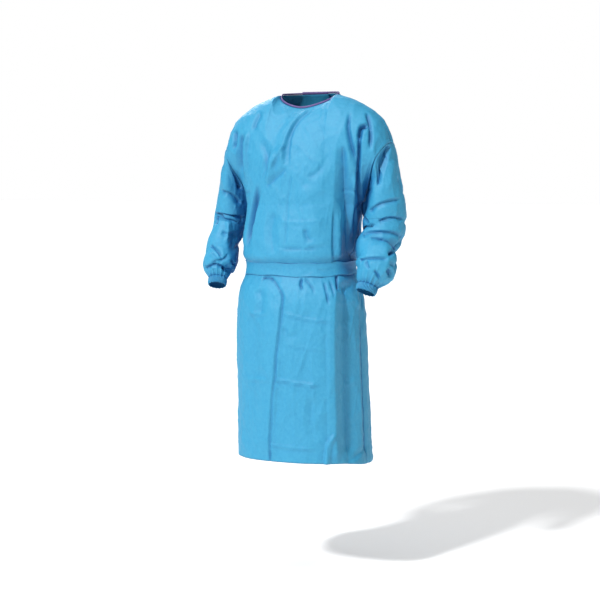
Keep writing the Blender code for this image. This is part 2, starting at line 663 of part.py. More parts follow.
def sheet(name, columns, rows, place, wall, finish, collection, closed=False, fine_rows=0):
    """A cloth piece: a flat grid moved onto its form, closed into a tube where asked, and given its wall."""
    mesh = bmesh.new()
    bmesh.ops.create_grid(mesh, x_segments=columns, y_segments=rows, size=0.5)
    if fine_rows:
        fine = 0.5 - (fine_rows + 0.5) / rows
        around = [edge for edge in mesh.edges
                  if abs(edge.verts[0].co.y - edge.verts[1].co.y) < TINY and edge.verts[0].co.y > fine]
        bmesh.ops.subdivide_edges(mesh, edges=around, cuts=GATHER_SPLITS, use_grid_fill=True)
    vertices = list(mesh.verts)
    flat = np.array([vertex.co[:2] for vertex in vertices]) + 0.5
    for vertex, point in zip(vertices, place(flat[:, 0], flat[:, 1])):
        vertex.co = point
    if closed:
        bmesh.ops.remove_doubles(mesh, verts=mesh.verts, dist=MERGE)
    bmesh.ops.recalc_face_normals(mesh, faces=mesh.faces)
    data = bpy.data.meshes.new(name)
    mesh.to_mesh(data)
    mesh.free()
    made = link(name, data, finish, collection)
    solidify = made.modifiers.new("wall", "SOLIDIFY")
    solidify.thickness = wall
    solidify.offset = 0.0
    return made


def belt_knot(finish, collection):
    """The tied knot at the middle of the back: a soft lump with a band over it."""
    row = np.array([body_row(BELT_MID)])
    seat = body(np.zeros(1), row, False, np.array([WRAP_LIFT + WALL / 2]))[0]
    mesh = bmesh.new()
    bmesh.ops.create_cube(mesh, size=1.0)
    bmesh.ops.subdivide_edges(mesh, edges=list(mesh.edges), cuts=KNOT_CUTS, use_grid_fill=True)
    half = np.array(KNOT_HALF_SIZE)
    for vertex in mesh.verts:
        flat = np.array(vertex.co) * 2
        waist = 1 - KNOT_WAIST * (1 - abs(flat[0])) * abs(flat[2])
        vertex.co = seat + half * flat * np.array([1, waist, 1]) + np.array([0, half[1] + KNOT_GAP, 0])
    data = bpy.data.meshes.new("belt_knot")
    mesh.to_mesh(data)
    mesh.free()
    made = link("belt_knot", data, finish, collection)
    soft = made.modifiers.new("soft", "SUBSURF")
    soft.levels = 1
    soft.render_levels = 1
    return made


def main():
    for old in list(bpy.data.objects):
        bpy.data.objects.remove(old)
    gown = bpy.data.collections.new("isolation_gown")
    bpy.context.scene.collection.children.link(gown)
    cloth = material("gown_cloth", CLOTH_BLUE, 0.62)
    violet = material("binding_tape", BINDING_VIOLET, 0.6)

    sheet("front_panel", 2 * HALF_COLUMNS, TOP_ROW, front_panel, WALL, cloth, gown)
    outer_columns = SHOULDER_COLUMNS + OUTER_COLUMNS
    inner_columns = SHOULDER_COLUMNS + INNER_COLUMNS
    sheet("back_panel_left", outer_columns, TOP_ROW, back_panel_left, WALL, cloth, gown)
    sheet("back_panel_right", inner_columns, TOP_ROW, back_panel_right, WALL, cloth, gown)
    for name in SLEEVES:
        sheet(f"sleeve_{name}", 2 * YOKE_ROWS, SLEEVE_ROWS, lambda u, v, n=name: sleeve(n, u, v), WALL,
              cloth, gown, closed=True, fine_rows=PUFF_ROWS)
        sheet(f"cuff_{name}", 2 * YOKE_ROWS * (GATHER_SPLITS + 1), CUFF_ROWS,
              lambda u, v, n=name: cuff(n, u, v), CUFF_WALL, cloth, gown, closed=True)
    sheet("neck_binding", BINDING_COLUMNS, 2, neck_binding, BINDING_WALL, violet, gown)
    sheet("neck_fastener", 3, 1, neck_fastener, FASTENER_WALL, cloth, gown)
    sheet("waist_belt", BELT_COLUMNS, BELT_ROWS, waist_belt, BELT_WALL, cloth, gown)
    belt_knot(cloth, gown)
    for name, side in (("left", 1), ("right", -1)):
        sheet(f"belt_tail_{name}", TAIL_COLUMNS, TAIL_ROWS, lambda u, v, s=side: belt_tail(s, u, v),
              BELT_WALL, cloth, gown)


main()
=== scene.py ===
import logging
import math
from dataclasses import dataclass, field
from enum import Enum
from typing import Callable

import bmesh
import bpy
import numpy as np
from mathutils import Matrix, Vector


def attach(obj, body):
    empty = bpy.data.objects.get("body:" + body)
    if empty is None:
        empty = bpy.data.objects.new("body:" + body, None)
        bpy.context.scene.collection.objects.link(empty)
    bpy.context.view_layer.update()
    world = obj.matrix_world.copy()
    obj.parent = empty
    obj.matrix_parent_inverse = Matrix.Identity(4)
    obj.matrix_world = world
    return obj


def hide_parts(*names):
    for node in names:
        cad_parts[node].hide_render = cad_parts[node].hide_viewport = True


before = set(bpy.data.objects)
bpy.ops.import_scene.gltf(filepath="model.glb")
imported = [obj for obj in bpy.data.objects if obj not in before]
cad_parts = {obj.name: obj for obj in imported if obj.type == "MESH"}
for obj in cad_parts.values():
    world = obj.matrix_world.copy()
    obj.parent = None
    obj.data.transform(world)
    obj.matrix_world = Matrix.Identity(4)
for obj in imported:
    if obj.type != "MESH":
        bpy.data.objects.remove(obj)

LOG = logging.getLogger("isolation_gown")
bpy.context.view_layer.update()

# Sizes shared by several pieces, in metres. Heights run from the origin at the base of the neck.
MM = 0.001
SHELL = 0.0009
HEM_HEIGHT = -1.113
HIP_HEIGHT = -0.605
BELT_LOW = -0.529
BELT_HIGH = -0.487
BELT_MID = (BELT_LOW + BELT_HIGH) / 2
BLOUSE_HEIGHT = -0.451
UNDERARM_HEIGHT = -0.310
YOKE_ROWS = 10
NECK_SHARE = 5 / 14
WRAP_LIFT = 0.0046
WAIST_MIDDLE = (-0.012, -0.04, 0.0)

# What all creases share: their scale, how far past their path they are looked for and their flanks end, in widths,
# how far round the form's outline they still count, and the room beyond their two ends.
CREASE_DEPTH = 1.65
CREASE_WIDTH = 0.85
CREASE_ROOM = 3.2
FLANK_END = 1.7
PAST_OUTLINE = 0.05
OUTLINE_EASE = 0.4
END_ROOM = 0.02

Points = np.ndarray
Placer = Callable[[Points, Points], Points]


class Side(Enum):
    """The gown's own side, as the sign of X."""

    LEFT = 1
    RIGHT = -1

    @property
    def word(self) -> str:
        """The side's name as the CAD nodes spell it."""
        return self.name.lower()


class Area(Enum):
    """The part of the gown that a crease belongs to."""

    BODY = "body"
    SLEEVE_LEFT = "left"
    SLEEVE_RIGHT = "right"
    BELT = "belt"


def ease(value: Points | float) -> Points:
    """A step from 0 to 1 that is level at both ends.

    Args:
        value: where along the step, 0 to 1.

    Returns:
        The eased share.
    """
    t = np.clip(value, 0.0, 1.0)
    return t * t * (3 - 2 * t)


def bell(gap: Points | float, width: float) -> Points:
    """A bell curve of a gap, 1 at the middle."""
    return np.exp(-((gap / width) ** 2))


def unit(vectors: Points) -> Points:
    """The directions of vectors, one in each row."""
    return vectors / np.linalg.norm(vectors, axis=1, keepdims=True)


def run_along(path: Points) -> Points:
    """The length along a path up to each of its points."""
    return np.concatenate([[0], np.cumsum(np.linalg.norm(np.diff(path, axis=0), axis=1))])


def from_waist(points: Points) -> Points:
    """Level directions from the middle of the waist to points."""
    return unit((points - np.array(WAIST_MIDDLE)) * np.array([1.0, 1.0, 0.0]))


def made_of(mesh: bmesh.types.BMesh, name: str, finish: bpy.types.Material) -> bpy.types.Object:
    """Turns a finished mesh into an object of the scene.

    Args:
        mesh: the mesh, which is freed.
        name: the object's name.
        finish: its material.

    Returns:
        The new object.
    """
    data = bpy.data.meshes.new(name)
    mesh.to_mesh(data)
    mesh.free()
    data.materials.append(finish)
    made = bpy.data.objects.new(name, data)
    bpy.context.scene.collection.objects.link(made)
    return made


def linear(hex_colour: str) -> tuple[float, float, float, float]:
    """An sRGB hex colour as Blender's linear colour.

    Args:
        hex_colour: six hex digits after a hash sign.

    Returns:
        Red, green, blue and an alpha of 1.
    """
    def channel(at: int) -> float:
        """One channel of the colour, made linear."""
        share = int(hex_colour[at:at + 2], 16) / 255
        return share / 12.92 if share <= 0.04045 else ((share + 0.055) / 1.055) ** 2.4

    return channel(1), channel(3), channel(5), 1.0


@dataclass(frozen=True)
class Table:
    """Rows of numbers under named columns, read on a smooth curve through them. The first column is the key."""

    columns: tuple[str, ...]
    rows: tuple[tuple[float, ...], ...]

    def read(self, column: str, value: Points) -> Points:
        """A column at any value of the key.

        Args:
            column: the column's name.
            value: values of the key.

        Returns:
            The column there.
        """
        data = np.array(self.rows, dtype=float)
        keys, values = data[:, 0], data[:, self.columns.index(column)]
        slopes = np.gradient(values, keys)
        at = np.clip(np.searchsorted(keys, value) - 1, 0, len(keys) - 2)
        step = keys[at + 1] - keys[at]
        t = np.clip((value - keys[at]) / step, 0.0, 1.0)
        start = (1 + 2 * t) * (1 - t) ** 2 * values[at] + t * (1 - t) ** 2 * step * slopes[at]
        end = t * t * (3 - 2 * t) * values[at + 1] + t * t * (t - 1) * step * slopes[at + 1]
        return start + end


@dataclass(frozen=True)
class Crease:
    """One crease, along a path in millimetres as seen from one side: across to the right, up from the origin.

    depth is inwards, so a ridge has a negative one. lean moves the width from the left flank of a downward path
    to the right one. sharp is 1 for a knife-edged bottom and 2 for a round one. fan widens and deepens the crease
    towards its end. start and end are the shares of the path over which it fades in and out.
    """

    area: Area
    seen_from: float
    path: tuple[tuple[float, float], ...]
    width: float
    depth: float
    lean: float = 0.0
    sharp: float = 1.4
    fan: float = 0.0
    start: float = 0.2
    end: float = 0.3

    def line(self, steps: int = 36) -> Points:
        """Points along the path on a smooth curve, in metres.

        Args:
            steps: how many points.

        Returns:
            The points, across and up.
        """
        marks = np.array(self.path, dtype=float) * MM
        if len(marks) == 2:
            share = np.linspace(0, 1, steps)[:, None]
            return marks[0] * (1 - share) + marks[1] * share
        ends = np.vstack([2 * marks[0] - marks[1], marks, 2 * marks[-1] - marks[-2]])
        at = np.linspace(0, len(marks) - 1 - 1e-9, steps)
        k = at.astype(int)
        t = (at - k)[:, None]
        a, b, c, d = ends[k], ends[k + 1], ends[k + 2], ends[k + 3]
        return 0.5 * (2 * b + (c - a) * t + (2 * a - 5 * b + 4 * c - d) * t**2 + (3 * b - a - 3 * c + d) * t**3)

    def press(self, points: Points, normals: Points) -> Points:
        """How far the crease moves each point inwards.

        Args:
            points: points of the plain form.
            normals: their outward normals.

        Returns:
            The move of each point, in metres.
        """
        turn = math.radians(self.seen_from)
        seen = np.stack([points[:, 0] * math.cos(turn) + points[:, 1] * math.sin(turn), points[:, 2]], -1)
        facing = normals[:, 0] * math.sin(turn) - normals[:, 1] * math.cos(turn)
        line = self.line()
        room = CREASE_ROOM * self.width * (1 + abs(self.lean)) * (1 + self.fan) * MM
        near = ((seen > line.min(0) - room) & (seen < line.max(0) + room)).all(1) & (facing > -PAST_OUTLINE)
        moved = np.zeros(len(points))
        if not near.any():
            return moved
        heads, runs = line[:-1], np.diff(line, axis=0)
        away = seen[near][:, None, :] - heads[None, :, :]
        along = np.clip((away * runs).sum(2) / (runs**2).sum(1), 0, 1)
        gaps = np.linalg.norm(away - along[:, :, None] * runs, axis=2)
        nearest = gaps.argmin(axis=1)
        each = np.arange(len(nearest))
        share = (nearest + along[each, nearest]) / len(runs)
        ahead, off = runs[nearest], away[each, nearest]
        right = np.sign(ahead[:, 0] * off[:, 1] - ahead[:, 1] * off[:, 0])
        width = self.width * CREASE_WIDTH * MM * (1 + self.lean * right) * (1 + self.fan * share)
        tent = np.clip(1 - gaps[each, nearest] / (FLANK_END * width), 0, 1)
        swell = tent + (self.sharp - 1) * (ease(tent) - tent)
        fade = ease((share + END_ROOM) / self.start) * ease((1 + END_ROOM - share) / self.end)
        deep = self.depth * CREASE_DEPTH * MM * (1 + self.fan * share) / (1 + self.fan)
        moved[near] = deep * swell * fade * ease((facing[near] + PAST_OUTLINE) / OUTLINE_EASE)
        return moved


def creases(area: Area, seen_from: float, *rows: tuple[object, ...]) -> tuple[Crease, ...]:
    """Creases of one area that are placed from one side.

    Args:
        area: the part of the gown.
        seen_from: the side, in degrees round from the front.
        rows: path, width, depth and what follows, as Crease takes them.

    Returns:
        The creases.
    """
    return tuple(Crease(area, seen_from, *row) for row in rows)


PHOTO_SIDE = 23.0
BACK_SIDE = 180.0
LEFT_SIDE = 90.0
RIGHT_SIDE = -90.0
BODY, ARM_L, ARM_R, BELT = Area.BODY, Area.SLEEVE_LEFT, Area.SLEEVE_RIGHT, Area.BELT

CHEST_CREASES = creases(
    BODY, PHOTO_SIDE,
    (((0, -14), (-46, -54), (-70, -98), (-82, -140), (-86, -192)), 8, -7, -0.6, 1.0, 1.2, 0.1, 0.15),
    (((-78, -132), (-104, -170), (-128, -214)), 8, -5, -0.5, 1.0, 0.3, 0.1, 0.4),
    (((12, -16), (-38, -60), (-60, -110), (-66, -196)), 4, 2.2, -0.2, 1.0, 0.6, 0.1, 0.12),
    (((-114, -140), (-123, -198), (-132, -253)), 9, -6, 0.3, 1.2),
    (((-133, -257), (-96, -222), (-60, -194)), 8, 3.2, 0.5, 1.0, 0.0, 0.1, 0.3),
    (((-152, -20), (-168, -50), (-178, -84)), 8, 5, 0.2, 1.2),
    (((-195, -80), (-202, -130), (-201, -182), (-199, -250)), 6, -5, 0.0, 1.0),
    (((-214, -90), (-220, -140), (-218, -236)), 8, 9, 0.0, 1.1, 0.4),
    (((-236, -78), (-240, -142)), 7, 7, 0.2, 1.1),
    (((-160, -240), (-171, -290), (-185, -356), (-193, -400), (-197, -466)), 8.5, 10, 0.55, 1.1, -0.35, 0.45, 0.3),
    (((-206, -300), (-208, -390), (-206, -456)), 7, -6, 0.0, 1.2),
    (((102, -128), (108, -199), (114, -263), (125, -346), (137, -480)), 11, 17, -0.33, 1.05, 1.7, 0.12, 0.03),
    (((77, -300), (74, -360), (73, -420), (74, -484)), 6, 4.5, 0.45, 1.0, 0.5, 0.3, 0.03),
    (((96, -330), (96, -400), (100, -480)), 10, -4, 0.0, 1.3, 0.3, 0.3, 0.1),
    (((127, -20), (121, -66), (124, -100), (135, -146), (149, -200)), 5, 9, -0.3, 1.0, 0.7, 0.2, 0.3),
    (((176, -24), (184, -50), (190, -94), (186, -148)), 5, 8, -0.2, 1.0, 0.2, 0.25, 0.3),
    (((178, -71), (162, -74), (156, -92), (153, -118)), 7, 12, 0.0, 1.0, 0.0, 0.1, 0.3),
    (((154, -100), (152, -178), (151, -236), (156, -278), (161, -330), (163, -414)), 5, 14, 0.0, 1.0, 0.5, 0.1, 0.2),
    (((140, -210), (134, -300), (148, -430)), 6, -5, 0.0, 1.0, 0.2, 0.2, 0.2),
    (((150, -300), (147, -350), (148, -440)), 5, 6, -0.2, 1.0, 0.2, 0.3, 0.2),
    (((104, -266), (150, -268)), 4, 2.6, -0.4, 1.0),
    (((-56, -206), (-66, -300), (-70, -364), (-76, -456)), 4, 1.3, 0.0, 1.0, 0.0, 0.15, 0.15),
    (((-224, -273), (-182, -275)), 4, 2.6, -0.4, 1.0),
    (((-96, -364), (-30, -366), (60, -362)), 6, -1.6, 0.0, 1.1),
    (((-110, -445), (-30, -449), (64, -442)), 5, 2.2, 0.3, 1.2),
    (((-16, -386), (-8, -410), (10, -426)), 10, 4, 0.3, 1.2),
    (((30, -60), (50, -140), (46, -220)), 26, 3.0, 0.0, 1.6),
    (((-20, -250), (10, -330), (26, -420)), 30, -4, 0.0, 1.6),
    (((-110, -330), (-122, -400), (-108, -466)), 18, 5, 0.2, 1.2),
    (((40, -190), (20, -214), (-10, -226)), 9, 2.5, 0.3, 1.1),
    (((-150, -110), (-130, -170), (-140, -215)), 14, 4, 0.3, 1.3),
)
SKIRT_CREASES = creases(
    BODY, PHOTO_SIDE,
    (((-110, -548), (-94, -572), (-84, -594), (-86, -640), (-93, -711), (-102, -783), (-106, -858)),
     3.4, 3.6, 0.3, 1.0, 0.2, 0.04, 0.06),
    (((-106, -850), (-114, -908), (-118, -990), (-122, -1057), (-123, -1126)), 3.4, 3.4, 0.3, 1.0, 0.2, 0.06, 0.04),
    (((-92, -600), (-98, -700), (-112, -860), (-130, -1100)), 30, -5, -0.6, 1.4, 0.0, 0.2, 0.1),
    (((-148, -545), (-136, -540), (-120, -541), (-110, -549)), 3.5, 5.5, 0.0, 1.0, 0.0, 0.25, 0.2),
    (((-160, -575), (-150, -610), (-156, -680)), 14, 4, 0.0, 1.4),
    (((-24, -540), (-28, -560), (-19, -578)), 4, 4.5, 0.2, 1.0, 0.0, 0.1, 0.4),
    (((-14, -540), (8, -566), (16, -590)), 4, 3, 0.0, 1.0, 0.0, 0.1, 0.5),
    (((44, -548), (52, -585), (60, -625)), 4, 3.5, 0.2, 1.0),
    (((60, -542), (70, -570), (76, -600)), 4, 3, 0.0, 1.0),
    (((85, -532), (86, -556), (91, -580)), 4, 6, -0.3, 1.0, 0.0, 0.08, 0.4),
    (((80, -560), (74, -700), (76, -860), (80, -1000), (86, -1110)), 22, -8, 0.3, 1.1, 0.2, 0.06, 0.1),
    (((-78, -649), (-6, -665), (70, -671)), 4.2, -2.4, 0.3, 1.0, 0.0, 0.1, 0.2),
    (((-108, -855), (-42, -862), (34, -871)), 4.2, -2.8, 0.3, 1.0, 0.0, 0.06, 0.15),
    (((-122, -1057), (-91, -1064), (30, -1068)), 4.2, -2.6, 0.3, 1.0, 0.0, 0.08, 0.2),
    (((-92, -740), (-20, -752), (50, -760)), 4.2, -1.3, 0.3, 1.0),
    (((-196, -655), (-120, -650)), 6, -2.0, 0.3, 1.0),
    (((-200, -862), (-112, -856)), 6, -2.0, 0.3, 1.0),
    (((-84, -690), (-60, -720), (-20, -700)), 10, 2.0, 0.0, 1.3),
    (((80, -1017), (57, -1052), (53, -1087), (50, -1132)), 7, -6, 0.3, 1.0, 0.3, 0.15, 0.05),
    (((96, -1128), (130, -1112), (158, -1096), (180, -1072)), 7, 2.6, 0.4, 1.0, 0.2, 0.1, 0.2),
    (((112, -545), (122, -640), (124, -860), (128, -1120)), 30, 14, -0.3, 1.15, 0.2, 0.12, 0.1),
    (((-20, -620), (-14, -760), (-24, -900)), 34, 3, 0.0, 1.6),
    (((-178, -640), (-172, -800), (-184, -1000)), 24, 4.5, 0.0, 1.5),
    (((10, -900), (4, -980), (14, -1050)), 20, 3, 0.2, 1.5),
)
BACK_CREASES = creases(
    BODY, BACK_SIDE,
    (((-150, -60), (-128, -140), (-118, -230), (-132, -310)), 12, 11, 0.4, 1.1, 0.5, 0.1, 0.2),
    (((128, -40), (104, -130), (100, -220), (120, -300)), 12, 11, -0.4, 1.1, 0.5, 0.1, 0.2),
    (((-186, -240), (-176, -330), (-184, -440)), 9, 11, 0.5, 1.0, 0.3),
    (((184, -240), (170, -330), (182, -440)), 9, 11, -0.5, 1.0, 0.3),
    (((-50, -320), (-72, -410), (-100, -478)), 9, 11, 0.4, 1.0, 0.5, 0.3, 0.06),
    (((58, -300), (84, -390), (118, -478)), 9, 11, -0.4, 1.0, 0.5, 0.3, 0.06),
    (((-20, -170), (-8, -320), (12, -460)), 14, 6, 0.2, 1.3),
    (((-30, -60), (-60, -120), (-56, -190)), 12, 5, 0.3, 1.2),
    (((-128, -545), (-142, -800), (-152, -1120)), 13, 13, 0.4, 1.1, 0.8, 0.06, 0.05),
    (((72, -545), (94, -820), (88, -1120)), 13, 13, -0.4, 1.1, 0.8, 0.06, 0.05),
    (((-46, -545), (-52, -700), (-46, -900)), 8, 9, 0.2, 1.0, 0.4, 0.05, 0.4),
    (((22, -545), (26, -680), (20, -860)), 8, 8, 0.0, 1.0, 0.4, 0.05, 0.4),
    (((150, -545), (162, -750), (158, -980)), 10, 9, 0.0, 1.1, 0.3, 0.06, 0.3),
    (((-10, -720), (-20, -900), (-8, -1120)), 18, 7, 0.0, 1.3, 0.4, 0.3, 0.05),
    (((-96, -548), (-88, -580), (-92, -630)), 5, 6, 0.0, 1.0, 0.0, 0.05, 0.4),
    (((106, -548), (112, -590), (104, -640)), 5, 6, 0.0, 1.0, 0.0, 0.05, 0.4),
    (((-170, -655), (0, -662), (150, -650)), 6, -2.4, 0.3, 1.0),
    (((-160, -862), (10, -868), (170, -858)), 6, -2.6, 0.3, 1.0),
    (((-120, -1060), (60, -1066)), 6, -2.4, 0.3, 1.0),
    (((-150, -268), (-20, -272), (120, -266)), 6, -2.0, 0.3, 1.0),
) + creases(
    BODY, RIGHT_SIDE,
    (((-60, -545), (-52, -800), (-64, -1120)), 13, 11, 0.3, 1.1, 0.6, 0.06, 0.05),
    (((20, -545), (28, -700), (20, -900)), 9, 8, 0.0, 1.1, 0.3, 0.06, 0.3),
    (((84, -545), (90, -780), (80, -1110)), 12, 10, -0.3, 1.1, 0.4, 0.06, 0.08),
    (((10, -340), (0, -400), (8, -478)), 8, 9, 0.3, 1.0, 0.3, 0.2, 0.06),
    (((-60, -350), (-70, -410), (-62, -478)), 8, 8, 0.0, 1.1, 0.3, 0.2, 0.06),
) + creases(
    BODY, LEFT_SIDE,
    (((-26, -545), (-40, -820), (-24, -1110)), 14, 5, 0.3, 1.1, 0.5, 0.06, 0.08),
    (((66, -545), (60, -760), (70, -1100)), 12, 10, -0.3, 1.1, 0.4, 0.06, 0.08),
    (((-20, -548), (-8, -600), (-14, -650)), 6, 6, 0.0, 1.0, 0.0, 0.05, 0.4),
    (((30, -340), (20, -400), (28, -478)), 8, 9, 0.3, 1.0, 0.3, 0.2, 0.06),
)
SLEEVE_CREASES = creases(
    ARM_L, PHOTO_SIDE,
    (((246, -128), (236, -160), (224, -196), (207, -256)), 12, 12, -0.4, 1.0, 0.2, 0.06, 0.15),
    (((158, -250), (163, -230), (176, -226), (184, -240)), 5, 4, 0.0, 1.1),
    (((150, -267), (176, -266), (196, -262)), 4, 4, -0.5, 1.0),
    (((184, -332), (210, -311), (240, -300), (282, -293)), 7, 5, -0.5, 1.0, 0.0, 0.1, 0.15),
    (((212, -362), (236, -352), (262, -350), (294, -356)), 6, 4.2, -0.5, 1.0, 0.0, 0.1, 0.15),
    (((160, -346), (172, -356), (184, -374)), 5, 5, 0.0, 1.0),
    (((163, -402), (182, -395), (228, -394), (264, -399), (292, -414)), 7, 5.2, -0.6, 1.0, 0.0, 0.06, 0.06),
    (((292, -416), (264, -440), (244, -462)), 5, 4.5, 0.5, 1.0, 0.0, 0.1, 0.2),
    (((154, -478), (182, -471), (214, -470), (240, -474)), 6, 5, -0.6, 1.0, 0.0, 0.06, 0.2),
    (((238, -462), (254, -456), (266, -448)), 5, 8, 0.0, 1.0),
    (((262, -170), (250, -220), (240, -280)), 16, -4, 0.0, 1.3),
    (((172, -478), (176, -494), (184, -506)), 5, 4, 0.0, 1.0),
    (((196, -508), (206, -522), (216, -540)), 5, 5, 0.0, 1.0),
    (((236, -506), (246, -518), (240, -532)), 7, 9, 0.0, 1.0),
    (((262, -500), (272, -520), (262, -540)), 7, 5, 0.0, 1.1),
    (((220, -420), (236, -440), (224, -462)), 14, -3, 0.0, 1.3),
) + creases(
    ARM_R, PHOTO_SIDE,
    (((-262, -160), (-247, -200), (-234, -232), (-225, -266)), 5, 9, 0.1, 1.0, 0.3, 0.1, 0.1),
    (((-280, -270), (-258, -276), (-236, -292), (-222, -314)), 8, 5, -0.65, 1.0, 0.0, 0.06, 0.15),
    (((-304, -343), (-282, -346), (-254, -351), (-216, -352)), 9, 6.5, -0.65, 1.0, 0.0, 0.03, 0.05),
    (((-304, -350), (-300, -366), (-304, -380)), 5, 6, 0.0, 1.0),
    (((-320, -446), (-303, -456), (-286, -474), (-277, -498)), 5, 4, 0.3, 1.0, 0.0, 0.15, 0.4),
    (((-256, -468), (-274, -486), (-296, -492), (-322, -503)), 6, 4, 0.4, 1.0, 0.0, 0.3, 0.3),
    (((-318, -468), (-302, -484), (-288, -500)), 5, -3, 0.0, 1.0),
    (((-280, -512), (-272, -520), (-268, -530)), 4, 8, 0.0, 1.0),
    (((-250, -490), (-244, -502), (-240, -514)), 4, 7, 0.0, 1.0),
    (((-266, -364), (-262, -400), (-270, -440)), 8, -4, 0.2, 1.1),
    (((-334, -516), (-306, -503), (-282, -508), (-256, -522), (-232, -500)), 6, 6, -0.5, 1.0, 0.0, 0.06, 0.1),
    (((-236, -400), (-246, -440), (-228, -470)), 14, 5, 0.0, 1.2),
    (((-282, -400), (-262, -410), (-232, -404)), 7, 3, -0.4, 1.1),
    (((-268, -505), (-258, -522), (-262, -540)), 6, 5, 0.0, 1.0),
    (((-292, -180), (-276, -230), (-262, -280)), 14, -4, 0.0, 1.3),
) + creases(
    ARM_L, LEFT_SIDE,
    (((-14, -226), (6, -268), (46, -300)), 11, 6, 0.3, 1.1),
    (((-10, -366), (14, -372), (50, -356)), 10, 6, 0.3, 1.0),
    (((-46, -438), (-18, -436), (22, -414)), 9, 6, 0.3, 1.0),
    (((-136, -488), (-92, -498), (-52, -478)), 8, 5, 0.2, 1.0),
) + creases(
    ARM_L, BACK_SIDE,
    (((-196, -240), (-236, -292), (-290, -306)), 15, 9, 0.2, 1.3),
    (((-206, -346), (-250, -378), (-306, -370)), 14, 10, 0.0, 1.2),
    (((-216, -424), (-258, -438), (-312, -422)), 12, 9, 0.0, 1.2),
) + creases(
    ARM_R, RIGHT_SIDE,
    (((14, -226), (-6, -268), (-46, -300)), 11, 6, 0.3, 1.1),
    (((8, -364), (-16, -370), (-54, -352)), 10, 6.5, 0.3, 1.0),
    (((36, -444), (10, -446), (-24, -424)), 9, 7, 0.3, 1.0),
    (((110, -484), (76, -498), (40, -480)), 8, 5, 0.2, 1.0),
) + creases(
    ARM_R, BACK_SIDE,
    (((200, -240), (238, -296), (294, -310)), 15, 9, -0.2, 1.3),
    (((214, -352), (262, -384), (322, -372)), 14, 10, 0.0, 1.2),
    (((222, -430), (266, -446), (330, -428)), 12, 9, 0.0, 1.2),
)
BELT_CREASES = creases(
    BELT, PHOTO_SIDE,
    (((-34, -538), (-12, -524), (10, -510)), 6, 2.4, 0.3, 1.2),
    (((-84, -490), (-82, -534)), 3, 1.0),
    (((-62, -490), (-61, -534)), 3, 1.0),
    (((-150, -505), (-120, -516), (-96, -512)), 6, 1.8),
    (((20, -512), (50, -520), (78, -508)), 6, 1.6),
) + creases(
    BELT, BACK_SIDE,
    (((-110, -500), (-70, -514), (-40, -508)), 6, 2.0),
    (((50, -508), (90, -518), (130, -506)), 6, 2.0),
)
CREASES = CHEST_CREASES + SKIRT_CREASES + BACK_CREASES + SLEEVE_CREASES + BELT_CREASES


@dataclass(frozen=True)
class Crumple:
    """Faint creases all over, where thin nonwoven cloth has been handled: crossing ridged waves."""

    waves: int = 16
    longest: float = 0.16
    shortest: float = 0.032
    height: float = 0.0018
    seed: int = 11
    upright: float = 0.55
    bend: float = 0.35
    bend_run: float = 2.7
    patch_run: float = 1.6
    finest: float = 0.35

    def lift(self, points: Points) -> Points:
        """How far each point stands out.

        Args:
            points: points of the form, in metres.

        Returns:
            The lift of each point.
        """
        random = np.random.default_rng(self.seed)
        total = np.zeros(len(points))
        for wave in range(self.waves):
            share = wave / (self.waves - 1)
            length = self.longest * (self.shortest / self.longest) ** share
            way = random.normal(size=3) * np.array([1.0, 1.0, self.upright])
            way /= np.linalg.norm(way)
            swing = points @ random.normal(size=3) * 2 * math.pi / (length * self.bend_run)
            bend = self.bend * length * np.sin(swing + random.uniform(0, 6))
            phase = (points @ way + bend) * math.pi / length + random.uniform(0, 6)
            spots = points @ random.normal(size=3) * math.pi / (length * self.patch_run)
            patch = ease(0.5 + np.sin(spots + random.uniform(0, 6)))
            ridge = (1 - np.abs(np.sin(phase))) ** 4
            total += ridge * patch * self.height * (self.finest + (1 - self.finest) * (1 - share))
        return total


def press_of(area: Area, points: Points, normals: Points) -> Points:
    """How far all creases of an area move each point inwards.

    Args:
        area: the part of the gown.
        points: points of the plain form.
        normals: their outward normals.

    Returns:
        The move of each point, in metres.
    """
    total = np.zeros(len(points))
    for crease in CREASES:
        if crease.area is area:
            total += crease.press(points, normals)
    return total


def normals_of(plain: Placer, first: Points, second: Points, inner: Points) -> Points:
    """Unit normals of a form by small steps, turned away from the inner points.

    Args:
        plain: the form's function of two values.
        first: the first values.
        second: the second values.
        inner: a point inside the form for each of them.

    Returns:
        The normals.
    """
    step = 1e-4
    along_first = plain(first + step, second) - plain(first - step, second)
    along_second = plain(first, second + step) - plain(first, second - step)
    normal = np.cross(along_first, along_second)
    length = np.linalg.norm(normal, axis=1, keepdims=True)
    normal = normal / np.where(length < 1e-12, 1, length)
    away = plain(first, second) - inner
    return normal * np.where((normal * away).sum(axis=1, keepdims=True) < 0, -1, 1)


